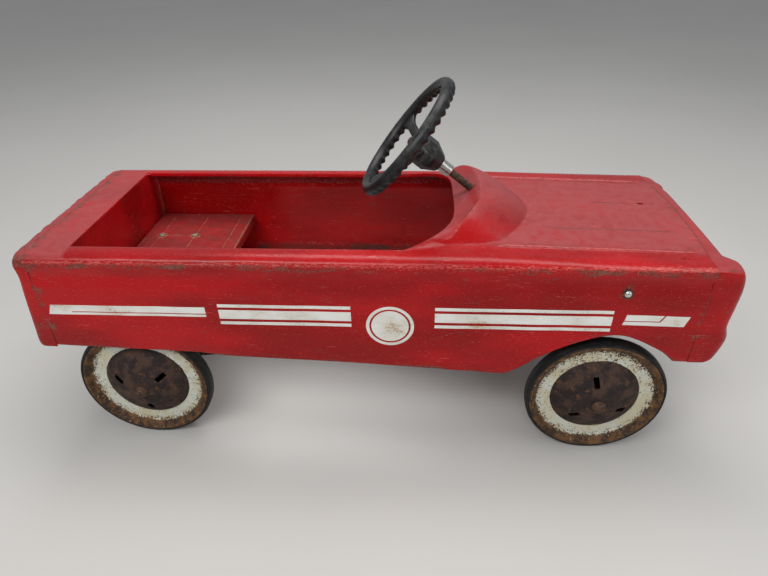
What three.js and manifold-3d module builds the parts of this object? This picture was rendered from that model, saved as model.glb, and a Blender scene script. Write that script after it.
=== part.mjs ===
// A child's pedal car with a pressed steel body: millimetres, +Z up, +X towards the nose, +Y to the driver's left.
// The origin lies on the floor below the middle of the car. Side +1 is the driver's left, side -1 the right.
import * as THREE from "three";
import { mergeVertices } from "three/addons/utils/BufferGeometryUtils.js";
import Module from "manifold-3d";

const wasm = await Module();
wasm.setup();

// Driving dimensions
const GAP = 0.4; // between pieces that touch
const SHEET = 1.6; // body steel
const STRIP = 2.5; // bracket steel
const SIDES = [-1, 1];

// Body shell
const SHOULDER_Y = 143;
const SHOULDER_Z = 290;
const SILL_Y = 140;
const SILL_Z = 150;
const RAIL_Y = 119;
const RAIL_RISE = 11; // of the cockpit rail above the shoulder
const RAIL_FRONT_RISE = 3; // what is left of it at the nose seam
const RAIL_FALL_X = 150; // where the rail starts to come down
const TAIL_SEAM_X = -410.5;
const NOSE_SEAM_X = 395.5;
const NOSE_X = 440;
const TAIL_X = -440;
const DECK_X = -362.2; // front edge of the rear deck

// Seat
const SEAT_Z = 223;
const SEAT_FRONT_X = -208;
const SEAT_BACK_X = -360.2;
const SEAT_HALF_WIDTH = 139.1;
const SEAT_FLANGE = 14;
const SEAT_PANEL = { halfWidth: 44, from: -350, to: -222, rise: 1 };

// Wheels and axles
const WHEEL_R = 90.7;
const AXLE_R = 4.75;
const BORE_R = 5.2;
const FRONT_AXLE_X = 296.8;
const REAR_AXLE_X = -313.4;
const FRONT_WHEEL_Y = 119;
const REAR_WHEEL_Y = 113;
const WHEEL_TO_AXLE_END = 36.5; // outwards from a wheel's middle plane
const WHEEL_SEGMENTS = 32;
const DISC_SEGMENTS = 22;
const SLOT = { radius: 35, width: 7, length: 14, count: 3 };
const FRONT_SLOT_TURN = 100; // degrees
const REAR_SLOT_TURN = 35;

// Pedal drive
const CRANK_THROW = 38;
const THROW_Y = 58; // middle of each crank pin
const THROW_HALF = 12; // from there to the middle of a cheek
const HANGER_Y = 80;
const SEAT_BOLT_X = [-333, -281];
const SEAT_BOLT_Y = 60;
const HANGER_ROD_X = 186.5;
const HANGER_ROD_Z = 258;
const HANGER_LENGTH = 120;
const PEDAL_HANGER_Y = 67.5;
const PEDAL = { inner: 12, outer: 54, length: 34, height: 14 };
const ROD_R = 4;

// Steering
const WHEEL_CENTRE = new THREE.Vector3(42.5, 0, 398);
const COWL_HOLE = new THREE.Vector3(123.5, 0, 333);
const RIM_R = 79.5;
const RIM_TUBE_R = 7.5;
const RIM_DEPTH = 1.2; // of the rim's section along the column, against its thickness
const KING_PIN_Y = 88;
const STEER_ARM = 36;
const ARM_Z = 169.5;
const TIE_ROD_Z = 174;
const CROSS_Z = 204; // top of the front cross member
const CROSS_X = [288, 318];
const SIDE_BOLT = { x: 302.5, z: 259.5 };
const COLUMN_CRANK = 34;
const TAB_REACH = 27.3; // from the column's axis to the tie rod's tab

const X = new THREE.Vector3(1, 0, 0);
const Y = new THREE.Vector3(0, 1, 0);
const Z = new THREE.Vector3(0, 0, 1);

// ---- geometry helpers -------------------------------------------------------------------------------------------

// Turns every face round if the closed geometry is inside out.
function facingOut(geometry) {
  const g = geometry.index ? geometry.toNonIndexed() : geometry;
  const p = g.attributes.position;
  const corner = (i) => new THREE.Vector3().fromBufferAttribute(p, i);
  let volume = 0;
  for (let i = 0; i < p.count; i += 3) volume += corner(i).dot(corner(i + 1).cross(corner(i + 2)));
  if (volume < 0) {
    for (let i = 0; i < p.count; i += 3) {
      const [b, c] = [corner(i + 1), corner(i + 2)];
      p.setXYZ(i + 1, c.x, c.y, c.z);
      p.setXYZ(i + 2, b.x, b.y, b.z);
    }
  }
  return g;
}

function toSolid(geometry) {
  const bare = new THREE.BufferGeometry();
  const source = facingOut(geometry);
  bare.setAttribute("position", source.attributes.position);
  const merged = mergeVertices(bare, 1e-4);
  const vertProperties = merged.attributes.position.array;
  const triVerts = new Uint32Array(merged.index.array);
  return new wasm.Manifold(new wasm.Mesh({ numProp: 3, vertProperties, triVerts }));
}

function toGeometry(solid) {
  const { vertProperties, triVerts } = solid.getMesh();
  const g = new THREE.BufferGeometry();
  g.setAttribute("position", new THREE.BufferAttribute(vertProperties, 3));
  g.setIndex(new THREE.BufferAttribute(triVerts, 1));
  return g;
}

function join(...pieces) {
  return toGeometry(pieces.map(toSolid).reduce((all, one) => all.add(one)));
}

function cut(piece, ...tools) {
  return toGeometry(tools.map(toSolid).reduce((left, tool) => left.subtract(tool), toSolid(piece)));
}

function outlineShape(outline) {
  if (outline instanceof THREE.Shape) return outline;
  return new THREE.Shape(outline.map(([a, b]) => new THREE.Vector2(a, b)));
}

// An outline extruded along one axis: (y, z) outlines along x, (x, z) along y and (x, y) along z.
function prism(axis, outline, from, to) {
  const [low, high] = [Math.min(from, to), Math.max(from, to)];
  const settings = { depth: high - low, bevelEnabled: false, curveSegments: 8 };
  const g = new THREE.ExtrudeGeometry(outlineShape(outline), settings);
  g.translate(0, 0, axis === "y" ? -high : low);
  const turn = new THREE.Matrix4();
  if (axis === "x") turn.makeBasis(Y, Z, X);
  if (axis === "y") turn.makeBasis(X, Z, Y.clone().negate());
  return g.applyMatrix4(turn);
}

function block(x, y, z) {
  const g = new THREE.BoxGeometry(Math.abs(x[1] - x[0]), Math.abs(y[1] - y[0]), Math.abs(z[1] - z[0]));
  return g.translate((x[0] + x[1]) / 2, (y[0] + y[1]) / 2, (z[0] + z[1]) / 2);
}

// A straight round bar between two points.
function rod(from, to, radius, sides = 12) {
  const a = new THREE.Vector3(...from);
  const b = new THREE.Vector3(...to);
  const along = b.clone().sub(a);
  const g = new THREE.CylinderGeometry(radius, radius, along.length(), sides);
  g.applyQuaternion(new THREE.Quaternion().setFromUnitVectors(Y, along.clone().normalize()));
  return g.translate(...a.add(b).divideScalar(2).toArray());
}

// A piece turned about the Y axis from a closed profile of [radius, y] points; side -1 points it the other way.
function turned(profile, segments, side = 1) {
  const points = profile.map(([r, y]) => new THREE.Vector2(r, y));
  const closed = profile[0][0] > 0 || profile.at(-1)[0] > 0;
  if (closed) points.push(points[0].clone());
  const g = facingOut(new THREE.LatheGeometry(points, segments));
  return side < 0 ? g.rotateZ(Math.PI) : g;
}

// A curve that passes through a list of points and stops at each of them when it is cut into equal steps.
class Stations extends THREE.Curve {
  constructor(points) {
    super();
    this.points = points;
  }
  getPoint(t) {
    const at = Math.min(Math.max(t, 0), 1) * (this.points.length - 1);
    const i = Math.min(Math.floor(at), this.points.length - 2);
    return this.points[i].clone().lerp(this.points[i + 1], at - i);
  }
  getPointAt(t) {
    return this.getPoint(t);
  }
  getTangentAt(t) {
    const step = 0.5 / (this.points.length - 1);
    return this.getPoint(t + step).sub(this.getPoint(t - step)).normalize();
  }
}

// A round bar bent along a run of corners, each rounded to the bend radius.
function bentBar(corners, radius, bend, sides = 12) {
  const points = [corners[0]];
  for (let i = 1; i < corners.length - 1; i++) {
    const before = corners[i].clone().lerp(corners[i - 1], bend / corners[i].distanceTo(corners[i - 1]));
    const after = corners[i].clone().lerp(corners[i + 1], bend / corners[i].distanceTo(corners[i + 1]));
    const arc = new THREE.QuadraticBezierCurve3(before, corners[i], after);
    points.push(...arc.getPoints(4));
  }
  points.push(corners.at(-1));
  const section = new THREE.Shape();
  section.absarc(0, 0, radius, 0, 2 * Math.PI);
  return new THREE.ExtrudeGeometry(section, {
    steps: points.length - 1,
    extrudePath: new Stations(points),
    curveSegments: sides / 2,
  });
}

// A flat link with round ends and a round hole at each end, in the x-z plane.
function link(a, b, endRadius, halfWidth, holeA, holeB, from, to) {
  const bar = [a, b].map(([x, z]) => rod([x, from, z], [x, to, z], endRadius, 18));
  const along = new THREE.Vector2(b[0] - a[0], b[1] - a[1]);
  const off = new THREE.Vector2(-along.y, along.x).setLength(halfWidth);
  const corners = [
    [a[0] + off.x, a[1] + off.y],
    [b[0] + off.x, b[1] + off.y],
    [b[0] - off.x, b[1] - off.y],
    [a[0] - off.x, a[1] - off.y],
  ];
  const plate = join(...bar, prism("y", corners, from, to));
  const reach = Math.sign(to - from);
  const hole = ([x, z], r) => rod([x, from - reach, z], [x, to + reach, z], r, 14);
  return cut(plate, hole(a, holeA), hole(b, holeB));
}

// A thin curved sheet: outer(u, v) and inner(u, v) give its two faces for u and v from 0 to 1.
function sheet(nu, nv, outer, inner) {
  const g = new THREE.BoxGeometry(1, 1, 1, nu, nv, 1);
  const p = g.attributes.position;
  for (let i = 0; i < p.count; i++) {
    const face = p.getZ(i) > 0 ? outer : inner;
    p.setXYZ(i, ...face(p.getX(i) + 0.5, p.getY(i) + 0.5));
  }
  return g;
}

// The point at share t of a run of points, straight between them.
function between(run, t) {
  const at = Math.min(Math.max(t, 0), 1) * (run.length - 1);
  const i = Math.min(Math.floor(at), run.length - 2);
  return run[i].map((value, k) => THREE.MathUtils.lerp(value, run[i + 1][k], at - i));
}

// ---- materials and the assembly ---------------------------------------------------------------------------------

const car = new THREE.Group();

function material(color, roughness, metalness) {
  return () => new THREE.MeshStandardMaterial({ color, roughness, metalness });
}

const redPaint = material(0xb3121a, 0.35, 0.1);
const wheelPaint = material(0xcfc8b4, 0.5, 0.1);
const bareSteel = material(0x6a4a38, 0.7, 0.5);
const brightSteel = material(0xc8c8c4, 0.25, 0.9);
const blackRubber = material(0x161616, 0.85, 0);
const blackPlastic = material(0x1c1c1e, 0.5, 0);
const whitePlastic = material(0xd8d4c8, 0.6, 0);

function add(name, geometry, makeMaterial) {
  const mesh = new THREE.Mesh(facingOut(geometry), makeMaterial());
  mesh.name = name;
  car.add(mesh);
}

function sideName(side) {
  return side < 0 ? "right" : "left";
}

// ---- body shell -------------------------------------------------------------------------------------------------

function wallY(z) {
  return SILL_Y + ((SHOULDER_Y - SILL_Y) * (z - SILL_Z)) / (SHOULDER_Z - SILL_Z);
}

// Rise of the cockpit rail, and of the hood's edge, above the shoulder.
function railRise(x) {
  const t = THREE.MathUtils.clamp((x - RAIL_FALL_X) / (NOSE_SEAM_X - RAIL_FALL_X), 0, 1);
  return THREE.MathUtils.lerp(RAIL_RISE, RAIL_FRONT_RISE, t);
}

function railZ(x) {
  return SHOULDER_Z + railRise(x);
}

function sidePanel(side) {
  const outline = new THREE.Shape();
  outline.moveTo(TAIL_SEAM_X, SHOULDER_Z - 1);
  outline.lineTo(TAIL_SEAM_X, 164.6);
  outline.lineTo(-219.5, 157);
  outline.lineTo(-187.5, 152);
  outline.lineTo(-24.5, 145);
  outline.lineTo(171.5, 132);
  const arch = [[183.5, 138], [243.5, 179], [302.5, 198], [353.5, 178], [377.5, 159]];
  outline.splineThru(arch.map(([x, z]) => new THREE.Vector2(x, z)));
  outline.lineTo(NOSE_SEAM_X, 158.5);
  outline.lineTo(NOSE_SEAM_X, SHOULDER_Z - 1);
  const wall = prism("y", outline, 0, SHEET);
  const p = wall.attributes.position;
  for (let i = 0; i < p.count; i++) p.setY(i, side * (wallY(p.getZ(i)) - p.getY(i)));

  // the rounded shoulder and the rail along the top, as y and share of the rail's rise
  const outside = [[RAIL_Y, 1], [126, 1], [137, 0.75], [SHOULDER_Y, 0], [SHOULDER_Y - 0.1, -0.4]];
  const inside = [[RAIL_Y, 1], [125.6, 1], [136, 0.75], [SHOULDER_Y - SHEET, 0], [SHOULDER_Y - SHEET, -0.4]];
  const stations = [[TAIL_SEAM_X], [RAIL_FALL_X], [NOSE_SEAM_X]];
  const face = (section, drop) => (u, v) => {
    const [x] = between(stations, u);
    const [y, share] = between(section, v);
    const low = share < 0.1 ? 0 : drop;
    return [x, side * y, SHOULDER_Z + (share < 0 ? share * RAIL_RISE : share * railRise(x)) - low];
  };
  const rail = sheet(2, 4, face(outside, 0), face(inside, SHEET));
  const bolt = rod([SIDE_BOLT.x, side * 130, SIDE_BOLT.z], [SIDE_BOLT.x, side * 150, SIDE_BOLT.z], 4);
  add("side_panel_" + sideName(side), cut(join(wall, rail), bolt), redPaint);
}

// Lines of the cowl across the car, as x at a distance from the middle: the cockpit's edge, the crest and the foot
// of the hump on the hood.
const cockpitEdgeX = (y) => 106.5 - 60 * (Math.abs(y) / 118) ** 4.8;
const crestX = (y) => 139 - 45 * (Math.abs(y) / 105) ** 3.2;
const humpFootX = (y) => Math.max(196.5 - 107 * (Math.abs(y) / 115) ** 6.3, crestX(y) + 6);
const cockpitEdgeZ = (y) => railZ(0) + 17 * Math.max(0, 1 - (Math.abs(y) / 118) ** 4.5);
const crestZ = (y) => railZ(0) + 35.7 * Math.max(0, 1 - (Math.abs(y) / 105) ** 6);

function hoodZ(x, y) {
  return railZ(x) + 3 * (1 - (y / RAIL_Y) ** 2);
}

function hoodCowl() {
  const half = RAIL_Y - GAP;
  const front = NOSE_SEAM_X;
  const band = 2 / 12; // share of u on the dash band, then on the hump
  const hump = 7 / 12;
  const point = (drop) => (u, v) => {
    const y = (2 * v - 1) * half;
    const foot = humpFootX(y);
    const lerp = THREE.MathUtils.lerp;
    if (u <= band) {
      const t = u / band;
      return [lerp(cockpitEdgeX(y), crestX(y), t), y, lerp(cockpitEdgeZ(y), crestZ(y), t) - drop];
    }
    if (u <= hump) {
      const t = (u - band) / (hump - band);
      return [lerp(crestX(y), foot, t), y, lerp(crestZ(y), hoodZ(foot, y), t ** 1.4) - drop];
    }
    const x = lerp(foot, front, (u - hump) / (1 - hump));
    return [x, y, hoodZ(x, y) - drop];
  };
  const along = COWL_HOLE.clone().sub(WHEEL_CENTRE).normalize().multiplyScalar(30);
  const low = COWL_HOLE.clone().sub(along);
  const high = COWL_HOLE.clone().add(along);
  const hole = rod(low.toArray(), high.toArray(), 7.5);
  add("hood_cowl", cut(sheet(12, 14, point(0), point(SHEET)), hole), redPaint);
}

// An end panel: a profile of [x, z] points swept across the car, drawn in to its seam at both corners, where its top
// also comes down with the shoulder. Between the corners, the part above the bumper lies deeper by the recess.
function endPanel(name, profile, seamX, tipX, middleZ, recess) {
  const half = wallY(200) + 0.2;
  const depth = Math.abs(tipX - seamX);
  const top = profile[0][1];
  const [roundFrom, bendZ, bumperZ] = [126, 265, 202];
  const { smoothstep } = THREE.MathUtils;
  const cornerDrop = (y) => {
    const out = Math.max(0, Math.abs(y) - roundFrom) / (SHOULDER_Y - roundFrom);
    return railRise(seamX) * (1 - Math.sqrt(Math.max(0, 1 - out ** 2)));
  };
  const face = (inset) => (u, v) => {
    const turn = (u - 0.5) * Math.PI;
    const y = Math.sign(turn) * Math.abs(Math.sin(turn)) ** (1 / 4) * half;
    const [px, pz] = between(profile, v);
    const deep = recess * (1 - smoothstep(Math.abs(y), 98, 114)) * smoothstep(pz, bumperZ, bumperZ + 12);
    const reach = Math.max(0, Math.cos(turn)) ** (1 / 4) * (1 - deep);
    const x = seamX + (px - seamX) * reach * (1 - inset / depth);
    const z = pz - (cornerDrop(y) * Math.max(0, pz - bendZ)) / (top - bendZ);
    return [x, y * (1 - inset / half), middleZ + (z - middleZ) * (1 - inset / (SHOULDER_Z - middleZ))];
  };
  add(name, sheet(14, profile.length - 1, face(0), face(SHEET)), redPaint);
}

function nosePanel() {
  const seam = NOSE_SEAM_X + GAP;
  const profile = [
    [seam, 292.5], [415.5, 291.5], [429.5, 288], [436.5, 279.5], [439, 262], [437.5, 236],
    [435.5, 212], [NOSE_X, 192], [432, 166], [424, 160],
  ];
  endPanel("nose_panel", profile, seam, NOSE_X, 226, 0.4);
}

function tailPanel() {
  const seam = TAIL_SEAM_X - GAP;
  const profile = [
    [seam, 301], [-420.5, 300], [-428.5, 294.5], [-431.5, 286], [-430, 277], [-429.5, 266],
    [-433, 240], [-438, 192], [TAIL_X, 169], [-436.5, 163.5],
  ];
  endPanel("tail_panel", profile, seam, TAIL_X, 232, 0);
}

function rearDeck() {
  const half = RAIL_Y - GAP;
  const top = railZ(0);
  add("rear_deck", block([TAIL_SEAM_X, DECK_X], [-half, half], [top - SHEET, top]), redPaint);
}

function seatBack() {
  const outline = [
    [-138, SEAT_Z + GAP], [138, SEAT_Z + GAP], [138, 284], [134, 292], [118, 298], [118, 301],
    [-118, 301], [-118, 298], [-134, 292], [-138, 284],
  ];
  add("seat_back", prism("x", outline, DECK_X + GAP, SEAT_BACK_X - GAP), redPaint);
}

function seatPan() {
  const half = SEAT_HALF_WIDTH;
  const low = SEAT_Z - SEAT_FLANGE;
  const x = [SEAT_BACK_X, SEAT_FRONT_X];
  const top = block(x, [-half, half], [SEAT_Z - SHEET, SEAT_Z]);
  const front = block([SEAT_FRONT_X - SHEET, SEAT_FRONT_X], [-half, half], [low, SEAT_Z]);
  const back = block([SEAT_BACK_X, SEAT_BACK_X + SHEET], [-half, half], [low, SEAT_Z]);
  const walls = SIDES.map((side) => block(x, [side * (half - SHEET), side * half], [low, SEAT_Z]));
  const { halfWidth, from, to, rise } = SEAT_PANEL;
  const panel = block([from, to], [-halfWidth, halfWidth], [SEAT_Z - SHEET, SEAT_Z + rise]);
  const holes = SIDES.flatMap((side) =>
    SEAT_BOLT_X.map((bx) => rod([bx, side * SEAT_BOLT_Y, low], [bx, side * SEAT_BOLT_Y, SEAT_Z + 5], 3.5)),
  );
  add("seat_pan", cut(join(top, front, back, ...walls, panel), ...holes), redPaint);
}

// ---- wheels -----------------------------------------------------------------------------------------------------

// The profiles are [radius, distance outwards from the wheel's middle plane].
const OUTER_DISC = [
  [BORE_R + 0.4, 31.5], [13, 31.3], [25, 29], [36, 24.3], [47, 17], [57.5, 9], [74.5, 8.8],
  [82, 18.6], [85.5, 18.2],
  [85.2, 17.2], [82.6, 17.2], [75.2, 7.5], [56.9, 7.6], [46.2, 15.7], [35.2, 23], [24.4, 27.6], [12.8, 29.9],
  [BORE_R + 0.4, 30.1],
];
const INNER_DISC = [
  [BORE_R, 29.7], [9.5, 29.7], [9.5, -10.6], [56.7, 7], [74.8, 7], [82.6, -0.2],
  [85.2, -0.2], [85.5, -1.2], [82, -1.6], [74, 5.6], [57.3, 5.6], [12, -12], [12, -16], [BORE_R, -16],
];
const TYRE = [
  [77.5, 5], [77.5, 10], [83.2, 16.7], [86, 16.8], [88.2, 18.6], [WHEEL_R, 14], [WHEEL_R, 3], [88.2, -1.6],
  [86, 0.2], [83.2, 0.3],
];

function wheel(place, side, axleX, middleY, slotTurn) {
  const name = place + "_" + sideName(side);
  const put = (g) => g.translate(axleX, side * middleY, WHEEL_R);
  const slots = [];
  for (let i = 0; i < SLOT.count; i++) {
    const slot = new THREE.BoxGeometry(SLOT.length, 30, SLOT.width);
    slot.translate(SLOT.radius, side * 20, 0);
    slot.rotateY(THREE.MathUtils.degToRad(-(slotTurn + (360 / SLOT.count) * i)));
    slots.push(slot);
  }
  const outer = cut(turned(OUTER_DISC, DISC_SEGMENTS, side), ...slots);
  add(name + "_wheel_outer", put(outer), wheelPaint);
  add(name + "_wheel_inner", put(turned(INNER_DISC, DISC_SEGMENTS, side)), wheelPaint);
  add(name + "_tyre", put(turned(TYRE, WHEEL_SEGMENTS, side)), blackRubber);
  // the push-on cap over the axle's end, with the blind hole that the axle fills
  const cap = [[0, 41], [5, 40], [8.5, 36], [9.5, 32], [BORE_R, 32], [BORE_R, 37.5], [0, 37.5]];
  add(name + "_axle_cap", put(turned(cap, 16, side)), bareSteel);
}

// ---- rear axle and pedal drive ----------------------------------------------------------------------------------

function crankAxle() {
  const end = REAR_WHEEL_Y + WHEEL_TO_AXLE_END;
  const [near, far] = [THROW_Y - THROW_HALF, THROW_Y + THROW_HALF];
  const run = [
    [-end, 0], [-far, 0], [-far, CRANK_THROW], [-near, CRANK_THROW], [-near, 0],
    [near, 0], [near, -CRANK_THROW], [far, -CRANK_THROW], [far, 0], [end, 0],
  ];
  const corners = run.map(([y, x]) => new THREE.Vector3(REAR_AXLE_X + x, y, WHEEL_R));
  const hole = rod([REAR_AXLE_X, 93, WHEEL_R - 15], [REAR_AXLE_X, 93, WHEEL_R + 15], 1.9, 10);
  add("crank_axle", cut(bentBar(corners, AXLE_R, 6), hole), bareSteel);
  add("drive_pin", rod([REAR_AXLE_X, 93, WHEEL_R - 9], [REAR_AXLE_X, 93, WHEEL_R + 9], 1.5, 10), brightSteel);
}

function axleHanger(side) {
  const top = SEAT_Z - SHEET - GAP;
  const inner = side * (HANGER_Y - STRIP / 2);
  const outer = side * (HANGER_Y + STRIP / 2);
  const plate = prism("y", [
    [-350, top], [-264, top], [REAR_AXLE_X + 15, WHEEL_R + 6], [REAR_AXLE_X, WHEEL_R - 10],
    [REAR_AXLE_X - 15, WHEEL_R + 6],
  ], inner, outer);
  const lug = rod([REAR_AXLE_X, inner, WHEEL_R], [REAR_AXLE_X, outer, WHEEL_R], 17, 20);
  const flange = block([-350, -264], [side * (SEAT_BOLT_Y - 12), outer], [top - STRIP, top]);
  const bushHole = rod([REAR_AXLE_X, side * 70, WHEEL_R], [REAR_AXLE_X, side * 90, WHEEL_R], 9.4, 18);
  const bolts = SEAT_BOLT_X.map((x) => rod([x, side * SEAT_BOLT_Y, top - 9], [x, side * SEAT_BOLT_Y, top + 9], 3.5));
  const name = sideName(side);
  add("axle_hanger_" + name, cut(join(plate, lug, flange), bushHole, ...bolts), bareSteel);

  const ring = [[BORE_R, -4], [BORE_R, 4], [12, 4], [12, 1.7], [9, 1.7], [9, -4]];
  const bush = turned(ring, 18, side).translate(REAR_AXLE_X, side * HANGER_Y, WHEEL_R);
  add("axle_bushing_" + name, bush, whitePlastic);

  SEAT_BOLT_X.forEach((x, i) => {
    const at = (z) => [x, side * SEAT_BOLT_Y, z];
    const head = rod(at(SEAT_Z + GAP), at(SEAT_Z + 3.6), 6, 12);
    const shank = rod(at(top - STRIP - 8), at(SEAT_Z + 2), 3, 12);
    const nut = rod(at(top - STRIP - GAP - 5), at(top - STRIP - GAP), 6, 6);
    add(`seat_bolt_${name}_${i + 1}`, join(head, shank, nut), brightSteel);
  });
}

// The left crank pin points backwards at rest, and the right one forwards.
function pedalDrive(side) {
  const name = sideName(side);
  const offset = -side * CRANK_THROW;
  const drop = Math.sqrt(HANGER_LENGTH ** 2 - CRANK_THROW ** 2);
  const crankPin = [REAR_AXLE_X + offset, WHEEL_R];
  const pedalPin = [HANGER_ROD_X + offset, HANGER_ROD_Z - drop];
  const [px, pz] = pedalPin;
  const at = (y) => [px, side * y, pz];

  const strapY = [side * (THROW_Y - 1.5), side * (THROW_Y + 1.5)];
  add("push_strap_" + name, link(crankPin, pedalPin, 9.5, 7, BORE_R, ROD_R + 0.3, ...strapY), bareSteel);

  const head = rod(at(THROW_Y + 2), at(THROW_Y + 5), 7);
  const pin = rod(at(PEDAL.inner - 5), at(THROW_Y + 4), ROD_R);
  const stop = rod(at(PEDAL.inner - 4), at(PEDAL.inner - 1.5), 6.5);
  add("pedal_pin_" + name, join(head, pin, stop), brightSteel);

  const { inner, outer, length, height } = PEDAL;
  const pad = block(
    [px - length / 2, px + length / 2],
    [side * inner, side * outer],
    [pz - height / 2, pz + height / 2],
  );
  add("pedal_" + name, cut(pad, rod(at(inner - 2), at(outer + 2), ROD_R + 0.4)), blackRubber);

  const hangerY = [side * (PEDAL_HANGER_Y - 1.5), side * (PEDAL_HANGER_Y + 1.5)];
  const hangerTop = [HANGER_ROD_X, HANGER_ROD_Z];
  const hanger = link(hangerTop, pedalPin, 9, 6, ROD_R + 0.4, ROD_R + 0.4, ...hangerY);
  add("pedal_hanger_" + name, hanger, bareSteel);
}

function hangerRod() {
  const half = wallY(HANGER_ROD_Z - 12) - SHEET - GAP;
  const at = (y) => [HANGER_ROD_X, y, HANGER_ROD_Z];
  const ends = SIDES.map((side) => rod(at(side * half), at(side * (half - 2)), 12, 18));
  add("hanger_rod", join(rod(at(-half + 1), at(half - 1), ROD_R), ...ends), bareSteel);
}

// ---- front axle and steering ------------------------------------------------------------------------------------

function frontCrossMember() {
  const out = wallY(CROSS_Z) - SHEET - GAP;
  const low = CROSS_Z - STRIP;
  const outline = [
    [-out, 272], [-out, low], [out, low], [out, 272], [out - STRIP, 272], [out - STRIP, CROSS_Z],
    [-out + STRIP, CROSS_Z], [-out + STRIP, 272],
  ];
  const holes = SIDES.flatMap((side) => [
    rod([SIDE_BOLT.x, side * 125, SIDE_BOLT.z], [SIDE_BOLT.x, side * 145, SIDE_BOLT.z], 4),
    rod([FRONT_AXLE_X, side * KING_PIN_Y, low - 5], [FRONT_AXLE_X, side * KING_PIN_Y, low + 9], BORE_R),
  ]);
  add("front_cross_member", cut(prism("x", outline, ...CROSS_X), ...holes), bareSteel);
}

function sideBolt(side) {
  const at = (y) => [SIDE_BOLT.x, side * y, SIDE_BOLT.z];
  const outer = wallY(SIDE_BOLT.z) + GAP;
  const inner = wallY(CROSS_Z) - SHEET - GAP - STRIP;
  const dome = turned([[0, 4.4], [3.6, 3.8], [6.2, 2], [7.2, 0], [0, 0]], 18, side);
  dome.translate(SIDE_BOLT.x, side * outer, SIDE_BOLT.z);
  const nut = rod(at(inner - GAP), at(inner - GAP - 5), 6.5, 6);
  add("side_bolt_" + sideName(side), join(dome, rod(at(inner - 8), at(outer + 1), 3.5), nut), brightSteel);
}

function kingPinBracket(side) {
  const x = [FRONT_AXLE_X - 9.5, FRONT_AXLE_X + 9.5];
  const top = CROSS_Z - STRIP - GAP;
  const foot = 128;
  const span = [side * 72, side * 95];
  const web = block(x, [side * 72, side * (72 + STRIP)], [foot, top]);
  const upper = block(x, span, [top - STRIP, top]);
  const lower = block(x, span, [foot, foot + STRIP]);
  const at = (z) => [FRONT_AXLE_X, side * KING_PIN_Y, z];
  const bracket = cut(join(web, upper, lower), rod(at(foot - 5), at(top + 5), BORE_R));
  add("king_pin_bracket_" + sideName(side), bracket, bareSteel);
}

// A bent bar that is the king pin above and the wheel's spindle below, with the steering arm fixed on it.
function spindle(side) {
  const corner = (y, z) => new THREE.Vector3(FRONT_AXLE_X, side * y, z);
  const end = FRONT_WHEEL_Y + WHEEL_TO_AXLE_END;
  const run = [corner(KING_PIN_Y, 214), corner(KING_PIN_Y, WHEEL_R), corner(end, WHEEL_R)];
  add("spindle_" + sideName(side), bentBar(run, AXLE_R, 9), bareSteel);

  const pin = [FRONT_AXLE_X, side * KING_PIN_Y];
  const armEnd = FRONT_AXLE_X - STEER_ARM - 1.5;
  const z = [ARM_Z, ARM_Z + 3.2];
  const disc = (x, r) => rod([x, pin[1], z[0]], [x, pin[1], z[1]], r, 18);
  const hole = (x, r) => rod([x, pin[1], z[0] - 2], [x, pin[1], z[1] + 2], r, 16);
  const slotR = 4;
  const slot = block([armEnd - 1.5, armEnd + 1.5], [pin[1] - slotR, pin[1] + slotR], [z[0] - 2, z[1] + 2]);
  const bar = block([armEnd, pin[0]], [pin[1] - 6, pin[1] + 6], z);
  const arm = join(disc(pin[0], 9.5), disc(armEnd, 9), bar);
  const holes = [hole(pin[0], BORE_R), hole(armEnd - 1.5, slotR), hole(armEnd + 1.5, slotR), slot];
  add("steering_arm_" + sideName(side), cut(arm, ...holes), bareSteel);
}

// The column's axis, from the steering wheel down to its cranked end, and the direction in which the end points.
const columnAxis = COWL_HOLE.clone().sub(WHEEL_CENTRE).normalize();
const crankDirection = new THREE.Vector3(columnAxis.z, 0, -columnAxis.x);
const tieRodX = FRONT_AXLE_X - STEER_ARM;
const columnEnd = (() => {
  const x = tieRodX + 30 * -crankDirection.x;
  return WHEEL_CENTRE.clone().addScaledVector(columnAxis, (x - WHEEL_CENTRE.x) / columnAxis.x);
})();

function onColumn(distance) {
  return WHEEL_CENTRE.clone().addScaledVector(columnAxis, distance);
}

// Puts a piece on the column: its own Y axis towards the driver, X across the car and Z up the wheel's face.
function alongColumn(geometry, distance) {
  const towardsDriver = columnAxis.clone().negate();
  const turn = new THREE.Matrix4().makeBasis(Y, towardsDriver, Y.clone().cross(towardsDriver));
  return geometry.applyMatrix4(turn).translate(...onColumn(distance).toArray());
}

function tieRod() {
  const y = KING_PIN_Y;
  const z = [TIE_ROD_Z, TIE_ROD_Z + 3];
  const bar = block([tieRodX - 7, tieRodX + 7], [-y, y], z);
  const ends = SIDES.map((side) => rod([tieRodX, side * y, z[0]], [tieRodX, side * y, z[1]], 9, 18));
  const pins = SIDES.map((side) => rod([tieRodX, side * y, z[1] - 1], [tieRodX, side * y, ARM_Z - 4], 3));
  const plate = block([tieRodX - 7, tieRodX + 14], [-14, 14], z);
  const middle = columnEnd.clone().addScaledVector(crankDirection, TAB_REACH);
  const tab = new THREE.BoxGeometry(STRIP, 26, 29);
  const lean = new THREE.Matrix4().makeBasis(crankDirection, Y, crankDirection.clone().cross(Y));
  tab.translate(0, 0, 1).applyMatrix4(lean);
  tab.translate(...middle.toArray());
  const from = middle.clone().addScaledVector(crankDirection, -8).toArray();
  const to = middle.clone().addScaledVector(crankDirection, 8).toArray();
  add("tie_rod", cut(join(bar, ...ends, ...pins, plate, tab), rod(from, to, AXLE_R + 1.9, 18)), bareSteel);
}

function steeringColumn() {
  const tip = columnEnd.clone().addScaledVector(crankDirection, COLUMN_CRANK);
  add("steering_column", bentBar([onColumn(8.4), columnEnd, tip], AXLE_R, 8), bareSteel);
}

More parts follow.
